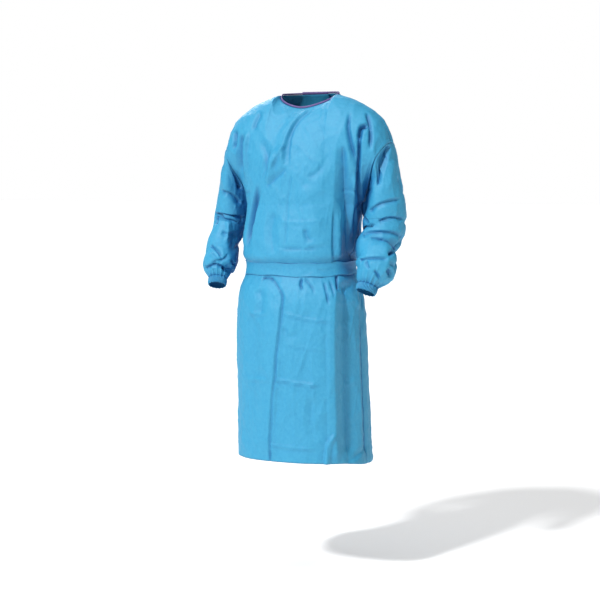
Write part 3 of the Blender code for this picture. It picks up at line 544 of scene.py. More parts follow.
@dataclass(frozen=True)
class BodyForm:
    """The gown's body as a form. A point is named by its share across, from -1 at the gown's right seam to 1 at
    the left one, by its row, from the hem up, and by front or back."""

    sections: Table = Table(
        ("height", "half_width", "front_reach", "back_reach", "shift_x", "shift_y", "corner"),
        (
            (-1.150, 0.210, 0.184, 0.184, -0.003, -0.018, 2.5),
            (-1.000, 0.207, 0.180, 0.178, -0.005, -0.024, 2.5),
            (-0.800, 0.204, 0.174, 0.170, -0.009, -0.034, 2.5),
            (-0.660, 0.201, 0.164, 0.160, -0.011, -0.038, 2.5),
            (-0.580, 0.194, 0.150, 0.145, -0.012, -0.040, 2.4),
            (-0.529, 0.179, 0.131, 0.126, -0.012, -0.040, 2.3),
            (-0.508, 0.175, 0.128, 0.122, -0.012, -0.040, 2.3),
            (-0.487, 0.177, 0.130, 0.124, -0.012, -0.039, 2.3),
            (-0.469, 0.185, 0.141, 0.134, -0.011, -0.036, 2.4),
            (-0.440, 0.187, 0.147, 0.138, -0.010, -0.032, 2.4),
            (-0.375, 0.187, 0.147, 0.136, -0.006, -0.024, 2.4),
            (-0.310, 0.189, 0.143, 0.132, -0.003, -0.015, 2.4),
        ),
    )
    shoulder: tuple[tuple[float, float], ...] = (
        (0.097, 0.033), (0.135, 0.022), (0.176, 0.004), (0.213, -0.018), (0.243, -0.046), (0.262, -0.081),
        (0.274, -0.120),
    )
    bands: tuple[tuple[float, float, int], ...] = (
        (HEM_HEIGHT, HIP_HEIGHT, 9), (HIP_HEIGHT, BELT_LOW, 3), (BELT_LOW, BELT_HIGH, 2),
        (BELT_HIGH, BLOUSE_HEIGHT, 2), (BLOUSE_HEIGHT, UNDERARM_HEIGHT, 5),
    )
    neck_half_width: float = 0.097
    neck_front_reach: float = 0.066
    neck_back_reach: float = 0.060
    neck_tip: float = 0.033
    neck_front: float = -0.011
    neck_back: float = 0.038
    neck_curve: float = 0.68
    neck_soft: float = 0.03
    shoulder_y: float = 0.004
    yoke_round: float = 0.85
    yoke_ease: float = math.radians(50)
    front_full: tuple[float, float] = (0.148, 0.104)
    back_full: tuple[float, float] = (0.122, 0.100)
    hem_drop: tuple[float, float, float, float] = (0.022, 104, 36, -0.80)
    corner_flare: tuple[float, float, float, float] = (0.028, -104, 26, -0.92)
    belt_dip: float = 0.005
    roll_over: float = 0.0042
    roll_mix: tuple[float, float] = (0.55, 0.45)
    roll_waves: tuple[tuple[float, float], tuple[float, float]] = ((3, 40), (1.7, -20))
    roll_spots: tuple[tuple[float, float, float], ...] = ((0.35, -22, 16), (0.3, -48, 12))
    roll_bulge: tuple[float, float] = (0.014, 0.015)
    roll_sag: tuple[float, float] = (0.006, 0.010)
    roll_foot: float = -0.004
    crumples_off_belt: tuple[float, float] = (0.018, 0.022)
    creases_off_belt: tuple[float, float] = (0.012, 0.015)
    neck_rows: float = 1.6
    half_girth: float = 0.30
    yoke_row: float = 0.028
    seam_groove: float = 0.0012
    seam_width: float = 0.0028
    allowance: float = 0.010
    allowance_edge: float = 0.002
    allowance_rise: float = 0.0007
    stitch_width: float = 0.0016
    stitch_depth: float = 0.0006
    core: tuple[float, float, float] = (-0.02, -0.02, -0.15)
    even_at: tuple[float, float] = (0.2, -0.40)
    even_steps: tuple[int, int] = (400, 801)
    crumple: Crumple = field(default_factory=Crumple)

    @property
    def underarm_row(self) -> int:
        """The row at the underarm."""
        return sum(band[2] for band in self.bands)

    @property
    def top_row(self) -> int:
        """The row of the neckline and the shoulder line."""
        return self.underarm_row + YOKE_ROWS

    @property
    def marks(self) -> tuple[Points, Points]:
        """The rows at which the bands meet, and their heights."""
        rows = np.cumsum([0] + [band[2] for band in self.bands])
        return rows, np.array([self.bands[0][0]] + [band[1] for band in self.bands])

    def level(self, row: Points) -> tuple[Points, Points]:
        """Height and rise over the yoke (0 to 1) of any row.

        Args:
            row: rows, from the hem up.

        Returns:
            The heights and the rises.
        """
        return np.interp(row, *self.marks), np.clip((row - self.underarm_row) / YOKE_ROWS, 0.0, 1.0)

    def row_at(self, height: float | Points) -> Points:
        """The row at any height up to the underarm.

        Args:
            height: heights.

        Returns:
            The rows.
        """
        rows, heights = self.marks
        return np.interp(height, heights, rows)

    def even_rows(self, share: Points) -> Points:
        """Rows for even shares of the panel's length, so that a fine grid has even steps.

        Args:
            share: shares of the length, from the hem up.

        Returns:
            The rows.
        """
        rows = np.linspace(0, self.top_row, self.even_steps[0])
        across = np.full(len(rows), self.even_at[0])
        path = self.plain(across, rows, True)
        run = run_along(path)
        return np.interp(share, run / run[-1], rows)

    def even_across(self, share: Points) -> Points:
        """Shares across for even steps round the half body, from -1 to 1.

        Args:
            share: even shares, from -1 to 1.

        Returns:
            The shares across.
        """
        across = np.linspace(-1, 1, self.even_steps[1])
        path = self.plain(across, np.full(len(across), float(self.row_at(self.even_at[1]))), True)
        run = run_along(path)
        return np.interp(share, run / run[-1] * 2 - 1, across)

    def turn_of(self, across: Points, front: bool) -> Points:
        """Degrees round the body from the middle of the front, positive towards the gown's left."""
        return 90 * across if front else np.where(across >= 0, 180, -180) - 90 * across

    def corner_share(self, turn: Points, height: Points) -> Points:
        """How strongly the wrap's free corner stands out, from 0 to 1."""
        _, at_turn, spread, top = self.corner_flare
        return ease((top - height) / (top - HEM_HEIGHT)) * bell(turn - at_turn, spread)

    def top_line(self, across: Points, front: bool) -> tuple[Points, Points, Points]:
        """Neckline and shoulder line: x, y and z at a share across the half front or half back.

        Args:
            across: shares across.
            front: the front rather than the back.

        Returns:
            x, y and z of the line.
        """
        share = np.abs(across)
        turn = np.clip(share / NECK_SHARE, 0, 1) * math.pi / 2
        if front:
            reach = -self.neck_front_reach
            low, power = self.neck_soft, self.neck_curve
            bow = ((1 - np.cos(turn) + low) ** power - low**power) / ((1 + low) ** power - low**power)
            height = self.neck_front + (self.neck_tip - self.neck_front) * bow
        else:
            reach = self.neck_back_reach
            height = self.neck_tip + (self.neck_back - self.neck_tip) * np.cos(turn)
        xs, heights = np.array(self.shoulder).T
        run = np.concatenate([[0], np.cumsum(np.hypot(np.diff(xs), np.diff(heights)))])
        along = np.clip((share - NECK_SHARE) / (1 - NECK_SHARE), 0, 1) * run[-1]
        on_neck = share <= NECK_SHARE
        x = np.where(on_neck, self.neck_half_width * np.sin(turn), np.interp(along, run, xs))
        z = np.where(on_neck, height, np.interp(along, run, heights))
        y = np.where(on_neck, self.shoulder_y + reach * np.cos(turn), self.shoulder_y)
        return np.sign(across) * x, y, z

    def plain(self, across: Points, row: Points, front: bool) -> Points:
        """Points of the body without folds.

        Args:
            across: shares across.
            row: rows.
            front: the front rather than the back.

        Returns:
            The points.
        """
        height, rise = self.level(np.clip(row, 0.0, self.top_row))
        angle = across * math.pi / 2
        power = 2 / self.sections.read("corner", height)
        side = -1 if front else 1
        reach = self.sections.read("front_reach" if front else "back_reach", height)
        wide = np.sign(np.sin(angle)) * np.abs(np.sin(angle)) ** power
        x_low = self.sections.read("shift_x", height) + self.sections.read("half_width", height) * wide
        y_low = self.sections.read("shift_y", height) + side * reach * np.abs(np.cos(angle)) ** power
        dip = self.belt_dip * side * np.cos(angle) * bell(height - BELT_MID, 0.10)

        turn = self.turn_of(across, front)
        drop, drop_turn, drop_spread, drop_top = self.hem_drop
        lowness = ease((drop_top - height) / (drop_top - HEM_HEIGHT))
        dip = dip - drop * lowness * bell(turn - drop_turn, drop_spread)
        corner = self.corner_flare[0] * self.corner_share(turn, height)
        x_low = x_low - corner
        y_low = y_low + corner * 0.5

        x_top, y_top, z_top = self.top_line(across, front)
        full, at_armhole = self.front_full if front else self.back_full
        y_full = side * (full + (at_armhole - full) * across**2)
        end_share = np.clip((y_top - self.shoulder_y) / (y_full - self.shoulder_y), 0, 1)
        end_angle = np.arccos(end_share ** (1 / self.yoke_round))
        bend = rise * end_angle
        y_out = y_low + (y_full - y_low) * ease(bend / self.yoke_ease)
        climb = np.sin(bend) ** self.yoke_round / np.sin(end_angle) ** self.yoke_round
        y = self.shoulder_y + (y_out - self.shoulder_y) * np.cos(bend) ** self.yoke_round
        x = x_low + (x_top - x_low) * climb
        z = height + dip + (z_top - height) * climb
        rises = (rise > 0)[:, None]
        return np.where(rises, np.stack([x, y, z], -1), np.stack([x_low, y_low, height + dip], -1))

    def blouse(self, points: Points, normals: Points) -> Points:
        """The soft roll of cloth that hangs over the belt's upper edge.

        Args:
            points: points of the plain form.
            normals: their outward normals.

        Returns:
            The move of each point.
        """
        above = points[:, 2] - (BELT_HIGH - self.belt_dip)
        turn = np.degrees(np.arctan2(points[:, 0] - WAIST_MIDDLE[0], -(points[:, 1] - WAIST_MIDDLE[1])))
        (first, first_phase), (second, second_phase) = self.roll_waves
        first_wave = np.sin(np.radians(turn * first + first_phase))
        full = self.roll_mix[0] + self.roll_mix[1] * first_wave * np.sin(np.radians(turn * second + second_phase))
        for more, at_turn, spread in self.roll_spots:
            full = full + more * bell(turn - at_turn, spread)
        (bulge, bulge_spread), (low, low_spread) = self.roll_bulge, self.roll_sag
        out = self.roll_over * full * bell(above - bulge, bulge_spread) * (above > self.roll_foot)
        sag = 0.5 * self.roll_over * full * bell(above - low, low_spread) * (above > self.roll_foot)
        return normals * out[:, None] - np.stack([0 * sag, 0 * sag, sag], -1)

    def place(self, across: Points, row: Points, front: bool, lift: Points | float = 0.0,
              seams: bool = True) -> Points:
        """Points of the body with its folds and seams.

        Args:
            across: shares across.
            row: rows.
            front: the front rather than the back.
            lift: how far to move each point outwards.
            seams: draw the seams in as grooves.

        Returns:
            The points.
        """
        row = np.clip(row, 0.0, self.top_row)
        height, _ = self.level(row)
        core_y, below, top = self.core
        inner = np.stack([0 * across, 0 * across + core_y, np.minimum(height + below, top)], -1)
        inside_row = np.clip(row, 0.001, self.top_row - 0.001)
        normal = normals_of(lambda a, b: self.plain(a, b, front), np.clip(across, -0.998, 0.998), inside_row, inner)
        points = self.plain(across, row, front)
        off_belt = np.abs(points[:, 2] - BELT_MID)
        below_neck = ease((self.top_row - row) / self.neck_rows)
        free, free_ease = self.creases_off_belt
        press = press_of(Area.BODY, points, normal) * ease((off_belt - free) / free_ease) * below_neck
        free, free_ease = self.crumples_off_belt
        lifted = self.crumple.lift(points) * ease((off_belt - free) / free_ease) * below_neck
        out = lift + lifted - press
        if seams:
            out = out + self.seam_profile(across, row)
        moved = points + normal * np.asarray(out)[:, None]
        return moved + self.blouse(points, normal)

    def seam_profile(self, across: Points, row: Points) -> Points:
        """Grooves at the side and shoulder seams, and the stitched allowance round the armholes.

        Args:
            across: shares across.
            row: rows.

        Returns:
            The move of each point, outwards.
        """
        to_side = (1 - np.abs(across)) * self.half_girth
        at_arm = ease((row - self.underarm_row + 0.5) / 0.5)
        to_shoulder = (self.top_row - row) * self.yoke_row + (np.abs(across) < NECK_SHARE) * 1.0
        groove = bell(to_side, self.seam_width) * (1 - 0.4 * at_arm) + bell(to_shoulder, self.seam_width)
        flat = ease((self.allowance - to_side) / self.allowance_edge) * ease(to_side / self.allowance_edge) * at_arm
        stitched = bell(to_side - self.allowance, self.stitch_width) * at_arm
        return -self.seam_groove * groove + self.allowance_rise * flat - self.stitch_depth * stitched


@dataclass(frozen=True)
class Wrap:
    """How far the two back panels run past the middle, as shares of a half back."""

    outer_top: float = 0.12
    outer_low: float = 0.84
    inner_top: float = 0.10
    inner_low: float = 0.40
    lift_ease: float = 0.30
    lift_ramp: float = 0.225
    corner_lift: float = 0.012

    def reach(self, form: BodyForm, row: Points, outer: bool) -> Points:
        """How far past the middle a panel runs at a row."""
        top, low = (self.outer_top, self.outer_low) if outer else (self.inner_top, self.inner_low)
        return top + (low - top) * ease((form.top_row - row) / (form.top_row - form.underarm_row / 2))

    def lift(self, form: BodyForm, across: Points, row: Points) -> Points:
        """The outer panel's lift, which clears the inner one beneath it.

        Args:
            form: the body.
            across: shares across.
            row: rows.

        Returns:
            The lift of each point.
        """
        edge = self.reach(form, row, False)
        corner = self.corner_lift * form.corner_share(form.turn_of(across, False), form.level(row)[0])
        return WRAP_LIFT * ease((edge + self.lift_ease - across) / self.lift_ramp) + corner


@dataclass
class Sheet:
    """A cloth piece made from a flat grid that is moved onto its form and given its wall.

    cut is the mean width and length, which the cloth's pattern is laid out on. Where the cut isn't a rectangle, flat
    is its widest by its longest and area its flat area. These were measured along the finished cloth and rounded.
    """

    name: str
    columns: int
    rows: int
    place: Placer
    cut: tuple[float, float]
    node: str
    slot: str = "gown_cloth"
    wall: float = SHELL
    closed: bool = False
    held: str = "hung"
    rests_on: tuple[str, ...] = ()
    flat: tuple[float, float] | None = None
    area: float | None = None

    def build(self, finish: bpy.types.Material) -> bpy.types.Object:
        """Args:
            finish: the material.

        Returns:
            The new object.
        """
        mesh = bmesh.new()
        cut = mesh.loops.layers.uv.new("cut")
        bmesh.ops.create_grid(mesh, x_segments=self.columns, y_segments=self.rows, size=0.5)
        for face in mesh.faces:
            face.smooth = True
            for loop in face.loops:
                at = loop.vert.co
                loop[cut].uv = ((at.x + 0.5) * self.cut[0], (at.y + 0.5) * self.cut[1])
        vertices = list(mesh.verts)
        flat = np.array([vertex.co[:2] for vertex in vertices]) + 0.5
        for vertex, point in zip(vertices, self.place(flat[:, 0], flat[:, 1])):
            vertex.co = point
        if self.closed:
            bmesh.ops.remove_doubles(mesh, verts=mesh.verts, dist=1e-5)
        bmesh.ops.recalc_face_normals(mesh, faces=mesh.faces)
        made = made_of(mesh, self.name, finish)
        wall = made.modifiers.new("wall", "SOLIDIFY")
        wall.thickness = self.wall
        wall.offset = 0.0
        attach(made, "root")
        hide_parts(self.node)
        LOG.info("%s: %d faces", self.name, len(made.data.polygons))
        return made


@dataclass
class BodyPanels:
    """The front and the two halves of the back."""

    form: BodyForm
    wrap: Wrap
    pitch: float = 0.0052
    fine: tuple[float, float] = (0.0031, 0.0052)
    girth: float = 0.640
    length: float = 1.190
    outer_width: float = 0.60
    inner_width: float = 0.47
    outer_seam: float = 0.52
    inner_seam: float = 0.62
    front_flat: tuple[float, float] = (0.77, 1.23)
    front_area: float = 0.72
    outer_flat: tuple[float, float] = (0.63, 1.23)
    outer_area: float = 0.61
    inner_flat: tuple[float, float] = (0.50, 1.23)
    inner_area: float = 0.49

    def front(self, u: Points, v: Points) -> Points:
        """Points of the front panel."""
        across, row = self.form.even_across(2 * u - 1), self.form.even_rows(v)
        return self.form.place(across, row, True)

    def half_back(self, u: Points, v: Points, outer: bool) -> Points:
        """Points of a back panel, from its side seam past the middle to its free edge.

        Args:
            u: shares across the panel.
            v: shares up the panel.
            outer: the left panel, which lies outside.

        Returns:
            The points.
        """
        row = self.form.even_rows(v)
        past = self.wrap.reach(self.form, row, outer)
        seam_columns = self.outer_seam if outer else self.inner_seam
        free = np.clip((u - seam_columns) / (1 - seam_columns), 0, 1)
        across = np.where(
            u <= seam_columns,
            1 - (1 - NECK_SHARE) * u / seam_columns,
            NECK_SHARE - free * (NECK_SHARE + past),
        )
        sign = 1 if outer else -1
        lift = self.wrap.lift(self.form, across, row) if outer else 0.0
        return self.form.place(sign * across, row, False, lift)

    def build(self, finish: bpy.types.Material) -> None:
        """Makes the three panels.

        Args:
            finish: the material.
        """
        rows = round(self.length / self.pitch)
        columns, fine_rows = round(self.girth / self.fine[0]), round(self.length / self.fine[1])
        Sheet("front_panel_cloth", columns, fine_rows, self.front, (self.girth, self.length), "front_panel",
              flat=self.front_flat, area=self.front_area).build(finish)
        Sheet("back_panel_left_cloth", round(self.outer_width / self.pitch), rows,
              lambda u, v: self.half_back(u, v, True), (self.outer_width, self.length), "back_panel_left",
              flat=self.outer_flat, area=self.outer_area).build(finish)
        Sheet("back_panel_right_cloth", round(self.inner_width / self.pitch), rows,
              lambda u, v: self.half_back(u, v, False), (self.inner_width, self.length), "back_panel_right",
              flat=self.inner_flat, area=self.inner_area).build(finish)


@dataclass(frozen=True)
class SleeveForm:
    """One sleeve as a form. u runs round it from the underarm over the front, v from the armhole to the cuff."""

    side: Side
    body: BodyForm
    sections: Table
    armhole_ease: float = 0.42
    armhole_gap: float = 0.0009
    armhole_drop: float = 0.0006
    underarm_gap: float = 0.0024
    gathers: int = 30
    gather_depth: float = 0.0030
    gather_start: float = 0.80
    seam_girth: float = 0.42
    seam_length: float = 0.37
    underarm_share: float = 0.35
    heading_step: float = 0.02
    inside_ends: tuple[float, float] = (0.002, 0.998)
    held_ends: tuple[float, float] = (0.05, 0.04)
    crumple: Crumple = Crumple(14, 0.09, 0.03, 0.0012, 5)

    @property
    def area(self) -> Area:
        """The area that its creases belong to."""
        return Area.SLEEVE_LEFT if self.side is Side.LEFT else Area.SLEEVE_RIGHT

    def armhole(self, u: Points) -> Points:
        """The armhole seam, from the underarm over the front, the shoulder and the back.

        Args:
            u: shares round it.

        Returns:
            The points.
        """
        rise = 1 - np.abs(2 * u - 1)
        row = self.body.underarm_row + rise * YOKE_ROWS
        across = np.full(len(u), float(self.side.value))
        front = self.body.place(across, row, True, seams=False)
        back = self.body.place(across, row, False, seams=False)
        points = np.where((u <= 0.5)[:, None], front, back)
        under = ease(1 - rise / self.underarm_share)
        points[:, 0] += self.side.value * (self.armhole_gap + self.underarm_gap * under)
        points[:, 2] -= self.armhole_drop
        return points

    def frame(self, v: Points) -> tuple[Points, Points, Points]:
        """Centre, outward and forward directions of the sleeve's sections.

        Args:
            v: shares along the sleeve.

        Returns:
            The centres and the two directions.
        """
        def centre(at: Points) -> Points:
            """The centre line at shares of its length."""
            return np.stack([self.side.value * self.sections.read("x", at), self.sections.read("y", at),
                             self.sections.read("height", at)], -1)

        step = self.heading_step
        run = unit(centre(np.clip(v + step, 0, 1)) - centre(np.clip(v - step, 0, 1)))
        out = np.zeros_like(run) + np.array([self.side.value, 0.0, 0.0])
        out = unit(out - run * (out * run).sum(axis=1, keepdims=True))
        fore = np.cross(run, out) * self.side.value
        return centre(v), out, fore * np.sign(fore[:, 1:2])

    def ring(self, u: Points, v: Points) -> Points:
        """The sections alone, along the centre line.

        Args:
            u: shares round the sleeve.
            v: shares along it.

        Returns:
            The points.
        """
        centre, out, back = self.frame(v)
        across = self.sections.read("half_across", v) * -np.cos(2 * math.pi * u)
        forward = self.sections.read("half_fore", v) * np.sin(2 * math.pi * u)
        return centre + out * across[:, None] - back * forward[:, None]

    def plain(self, u: Points, v: Points) -> Points:
        """The sleeve without folds, eased from the armhole seam into its sections.

        Args:
            u: shares round the sleeve.
            v: shares along it.

        Returns:
            The points.
        """
        u, v = np.mod(u, 1.0), np.clip(v, 0, 1)
        share = 1 - ease(v / self.armhole_ease)
        rings = np.linspace(0, 1, 241)
        seam = self.armhole(rings) - self.ring(rings, np.zeros(len(rings)))
        start = np.stack([np.interp(u, rings, seam[:, axis]) for axis in range(3)], -1)
        return self.ring(u, v) + start * share[:, None]

    def gather(self, u: Points, v: Points) -> Points:
        """Uneven waves of the gathered end, which grow towards the cuff.

        Args:
            u: shares round the sleeve.
            v: shares along it.

        Returns:
            How far each point stands out.
        """
        grow = ease((v - self.gather_start) / (1 - self.gather_start))
        turn = 2 * math.pi * u
        uneven = 0.7 + 0.3 * np.sin(3 * turn + 1.1) * np.sin(7 * turn)
        swing = 1.1 * np.sin(5 * turn + 0.6) * (1 - v) * 3
        broad = np.cos(self.gathers / 2 * turn + swing)
        fine = np.cos(self.gathers * turn + 2 * swing)
        return self.gather_depth * grow * uneven * (0.75 * broad + 0.25 * fine)

    def place(self, u: Points, v: Points) -> Points:
        """Points of the sleeve with its folds, gathers and seam.

        Args:
            u: shares round the sleeve.
            v: shares along it.

        Returns:
            The points.
        """
        inside = np.clip(v, *self.inside_ends)
        centre, _, _ = self.frame(inside)
        normal = normals_of(self.plain, u, inside, centre)
        points = self.plain(u, v)
        hold = ease((v + 0.01) / self.held_ends[0]) * ease((1 - v) / self.held_ends[1])
        press = press_of(self.area, points, normal) * hold
        lift = self.crumple.lift(points) * hold
        width = self.body.seam_width
        seam = bell(np.minimum(u, 1 - u) * self.seam_girth, width) + bell(v * self.seam_length, width)
        return points + normal * (lift + self.gather(u, v) - press - self.body.seam_groove * seam)[:, None]


@dataclass
class Sleeve:
    """A sleeve and the elastic casing that gathers its end."""

    form: SleeveForm
    flat: tuple[float, float]
    area: float
    girth: float = 0.42
    length: float = 0.47
    pitch: float = 0.0023
    cuff_length: float = 0.024
    cuff_start: float = 0.0003
    cuff_wall: float = 0.0012
    cuff_cut: tuple[float, float] = (0.28, 0.025)
    cuff_swell: float = 0.0022
    cuff_stitch: float = 0.0009
    ruffle: float = 0.0011

    def cuff(self, u: Points, v: Points) -> Points:
        """The gathered casing that carries on from the sleeve's last section.

        Args:
            u: shares round it.
            v: shares along it.

        Returns:
            The points.
        """
        form = self.form
        last = form.place(u, np.ones(len(u)))
        centre = form.frame(np.ones(1))[0]
        ahead = centre - form.frame(np.full(1, 0.94))[0]
        ahead /= np.linalg.norm(ahead)
        out = last - centre
        out = unit(out - ahead * (out * ahead).sum(axis=1, keepdims=True))
        hold = form.gather(u, np.ones(len(u))) * ease(v * 1.5)
        ruffle = self.ruffle * np.cos(2 * math.pi * form.gathers * 1.5 * u) * (0.5 + 0.5 * ease(v * 2))
        swell = self.cuff_swell * np.sin(math.pi * v) ** 0.6
        swell = swell - self.cuff_stitch * bell(v - 0.12, 0.06) - self.cuff_stitch * bell(v - 0.88, 0.05)
        along = (self.cuff_start + v * self.cuff_length)[:, None]
        return last + ahead * along + out * (swell + ruffle - hold)[:, None]

    def build(self, finish: bpy.types.Material) -> None:
        """Makes the sleeve and its cuff.

        Args:
            finish: the material.
        """
        word = self.form.side.word
        around = round(self.girth / self.pitch / 4) * 4
        Sheet(f"sleeve_{word}_cloth", around, round(self.length / self.pitch), self.form.place,
              (self.girth, self.length), f"sleeve_{word}", closed=True, flat=self.flat, area=self.area).build(finish)
        Sheet(f"cuff_{word}_casing", 240, 12, self.cuff, self.cuff_cut, f"cuff_{word}", wall=self.cuff_wall,
              closed=True, held="gathered").build(finish)


@dataclass
class NeckBinding:
    """The folded violet tape round the neckline."""

    form: BodyForm
    wrap: Wrap
    stand: float = 0.0012
    width: float = 0.0056
    lean: float = math.radians(25)
    thick: float = 0.0018
    wall: float = 0.0007
    length: float = 0.61
    fold: float = 0.07
    ripples: int = 85
    ripple: float = 0.00025
    fold_dip: float = 0.0006
    fold_ease: float = 0.09
    bulge: tuple[float, float] = (0.8, 0.35)

    def place(self, u: Points, v: Points) -> Points:
        """Points of the tape, folded over the edge: up its outer side, over the fold and down its inner side.

        Args:
            u: shares along, from the outer end at the back, round the left side and the front.
            v: shares across the tape's cut width.

        Returns:
            The points.
        """
        form, wrap = self.form, self.wrap
        to_front = wrap.outer_top + NECK_SHARE
        to_right = to_front + 2 * NECK_SHARE
        run = u * (to_right + NECK_SHARE + wrap.inner_top)
        top = np.full(len(u), float(form.top_row))
        left_back = np.clip(run - wrap.outer_top, -wrap.outer_top, NECK_SHARE)
        ahead_share = np.clip(NECK_SHARE - (run - to_front), -NECK_SHARE, NECK_SHARE)
        right_back = np.clip(run - to_right - NECK_SHARE, -NECK_SHARE, wrap.inner_top)
        outer = form.place(left_back, top, False, wrap.lift(form, left_back, top), seams=False)
        ahead = form.place(ahead_share, top, True, seams=False)
        inner = form.place(right_back, top, False, seams=False)
        edge = np.where((run <= to_front)[:, None], outer, np.where((run <= to_right)[:, None], ahead, inner))
        inward = unit(-np.stack([edge[:, 0], edge[:, 1] - form.shoulder_y, 0 * u], -1))
        stand = inward * math.sin(self.lean) + np.array([0, 0, math.cos(self.lean)])
        across = inward * math.cos(self.lean) - np.array([0, 0, math.sin(self.lean)])
        bend = np.clip((np.abs(v - 0.5) - self.fold) / (0.5 - self.fold), 0, 1)
        up = self.width * (1 - bend) - self.fold_dip * bell(bend, 0.06)
        bulge = self.bulge[0] + self.bulge[1] * np.sin(math.pi * bend)
        side = self.thick / 2 * np.sign(v - 0.5) * ease(np.abs(v - 0.5) / self.fold_ease) * bulge
        ripple = self.ripple * np.sin(2 * math.pi * self.ripples * u + 3 * v)
        return edge + stand * (self.stand + up)[:, None] + across * (side + ripple)[:, None]

    def build(self, finish: bpy.types.Material) -> None:
        """Makes the tape."""
        Sheet("neck_binding_tape", 200, 14, self.place, (self.length, 2 * self.width), "neck_binding", "binding_tape",
              self.wall, held="stretched", rests_on=("front_panel_cloth",)).build(finish)


@dataclass
class NeckFastener:
    """The hook-and-loop patch that holds the two layers of the back together below the neckline."""

    form: BodyForm
    low_row: float = 2.0
    start: float = 0.05
    run: float = 0.12
    wall: float = 0.0012
    cut: tuple[float, float] = (0.052, 0.024)

    def place(self, u: Points, v: Points) -> Points:
        """Points of the patch, halfway between the layers."""
        across, row = self.start - u * self.run, self.form.top_row - self.low_row + v
        return self.form.place(across, row, False, np.full(len(u), WRAP_LIFT / 2), seams=False)

    def build(self, finish: bpy.types.Material) -> None:
        """Makes the patch."""
        Sheet("neck_fastener_patch", 16, 12, self.place, self.cut, "neck_fastener", "fastener_tape", self.wall,
              held="laid", rests_on=("back_panel_right_cloth",)).build(finish)


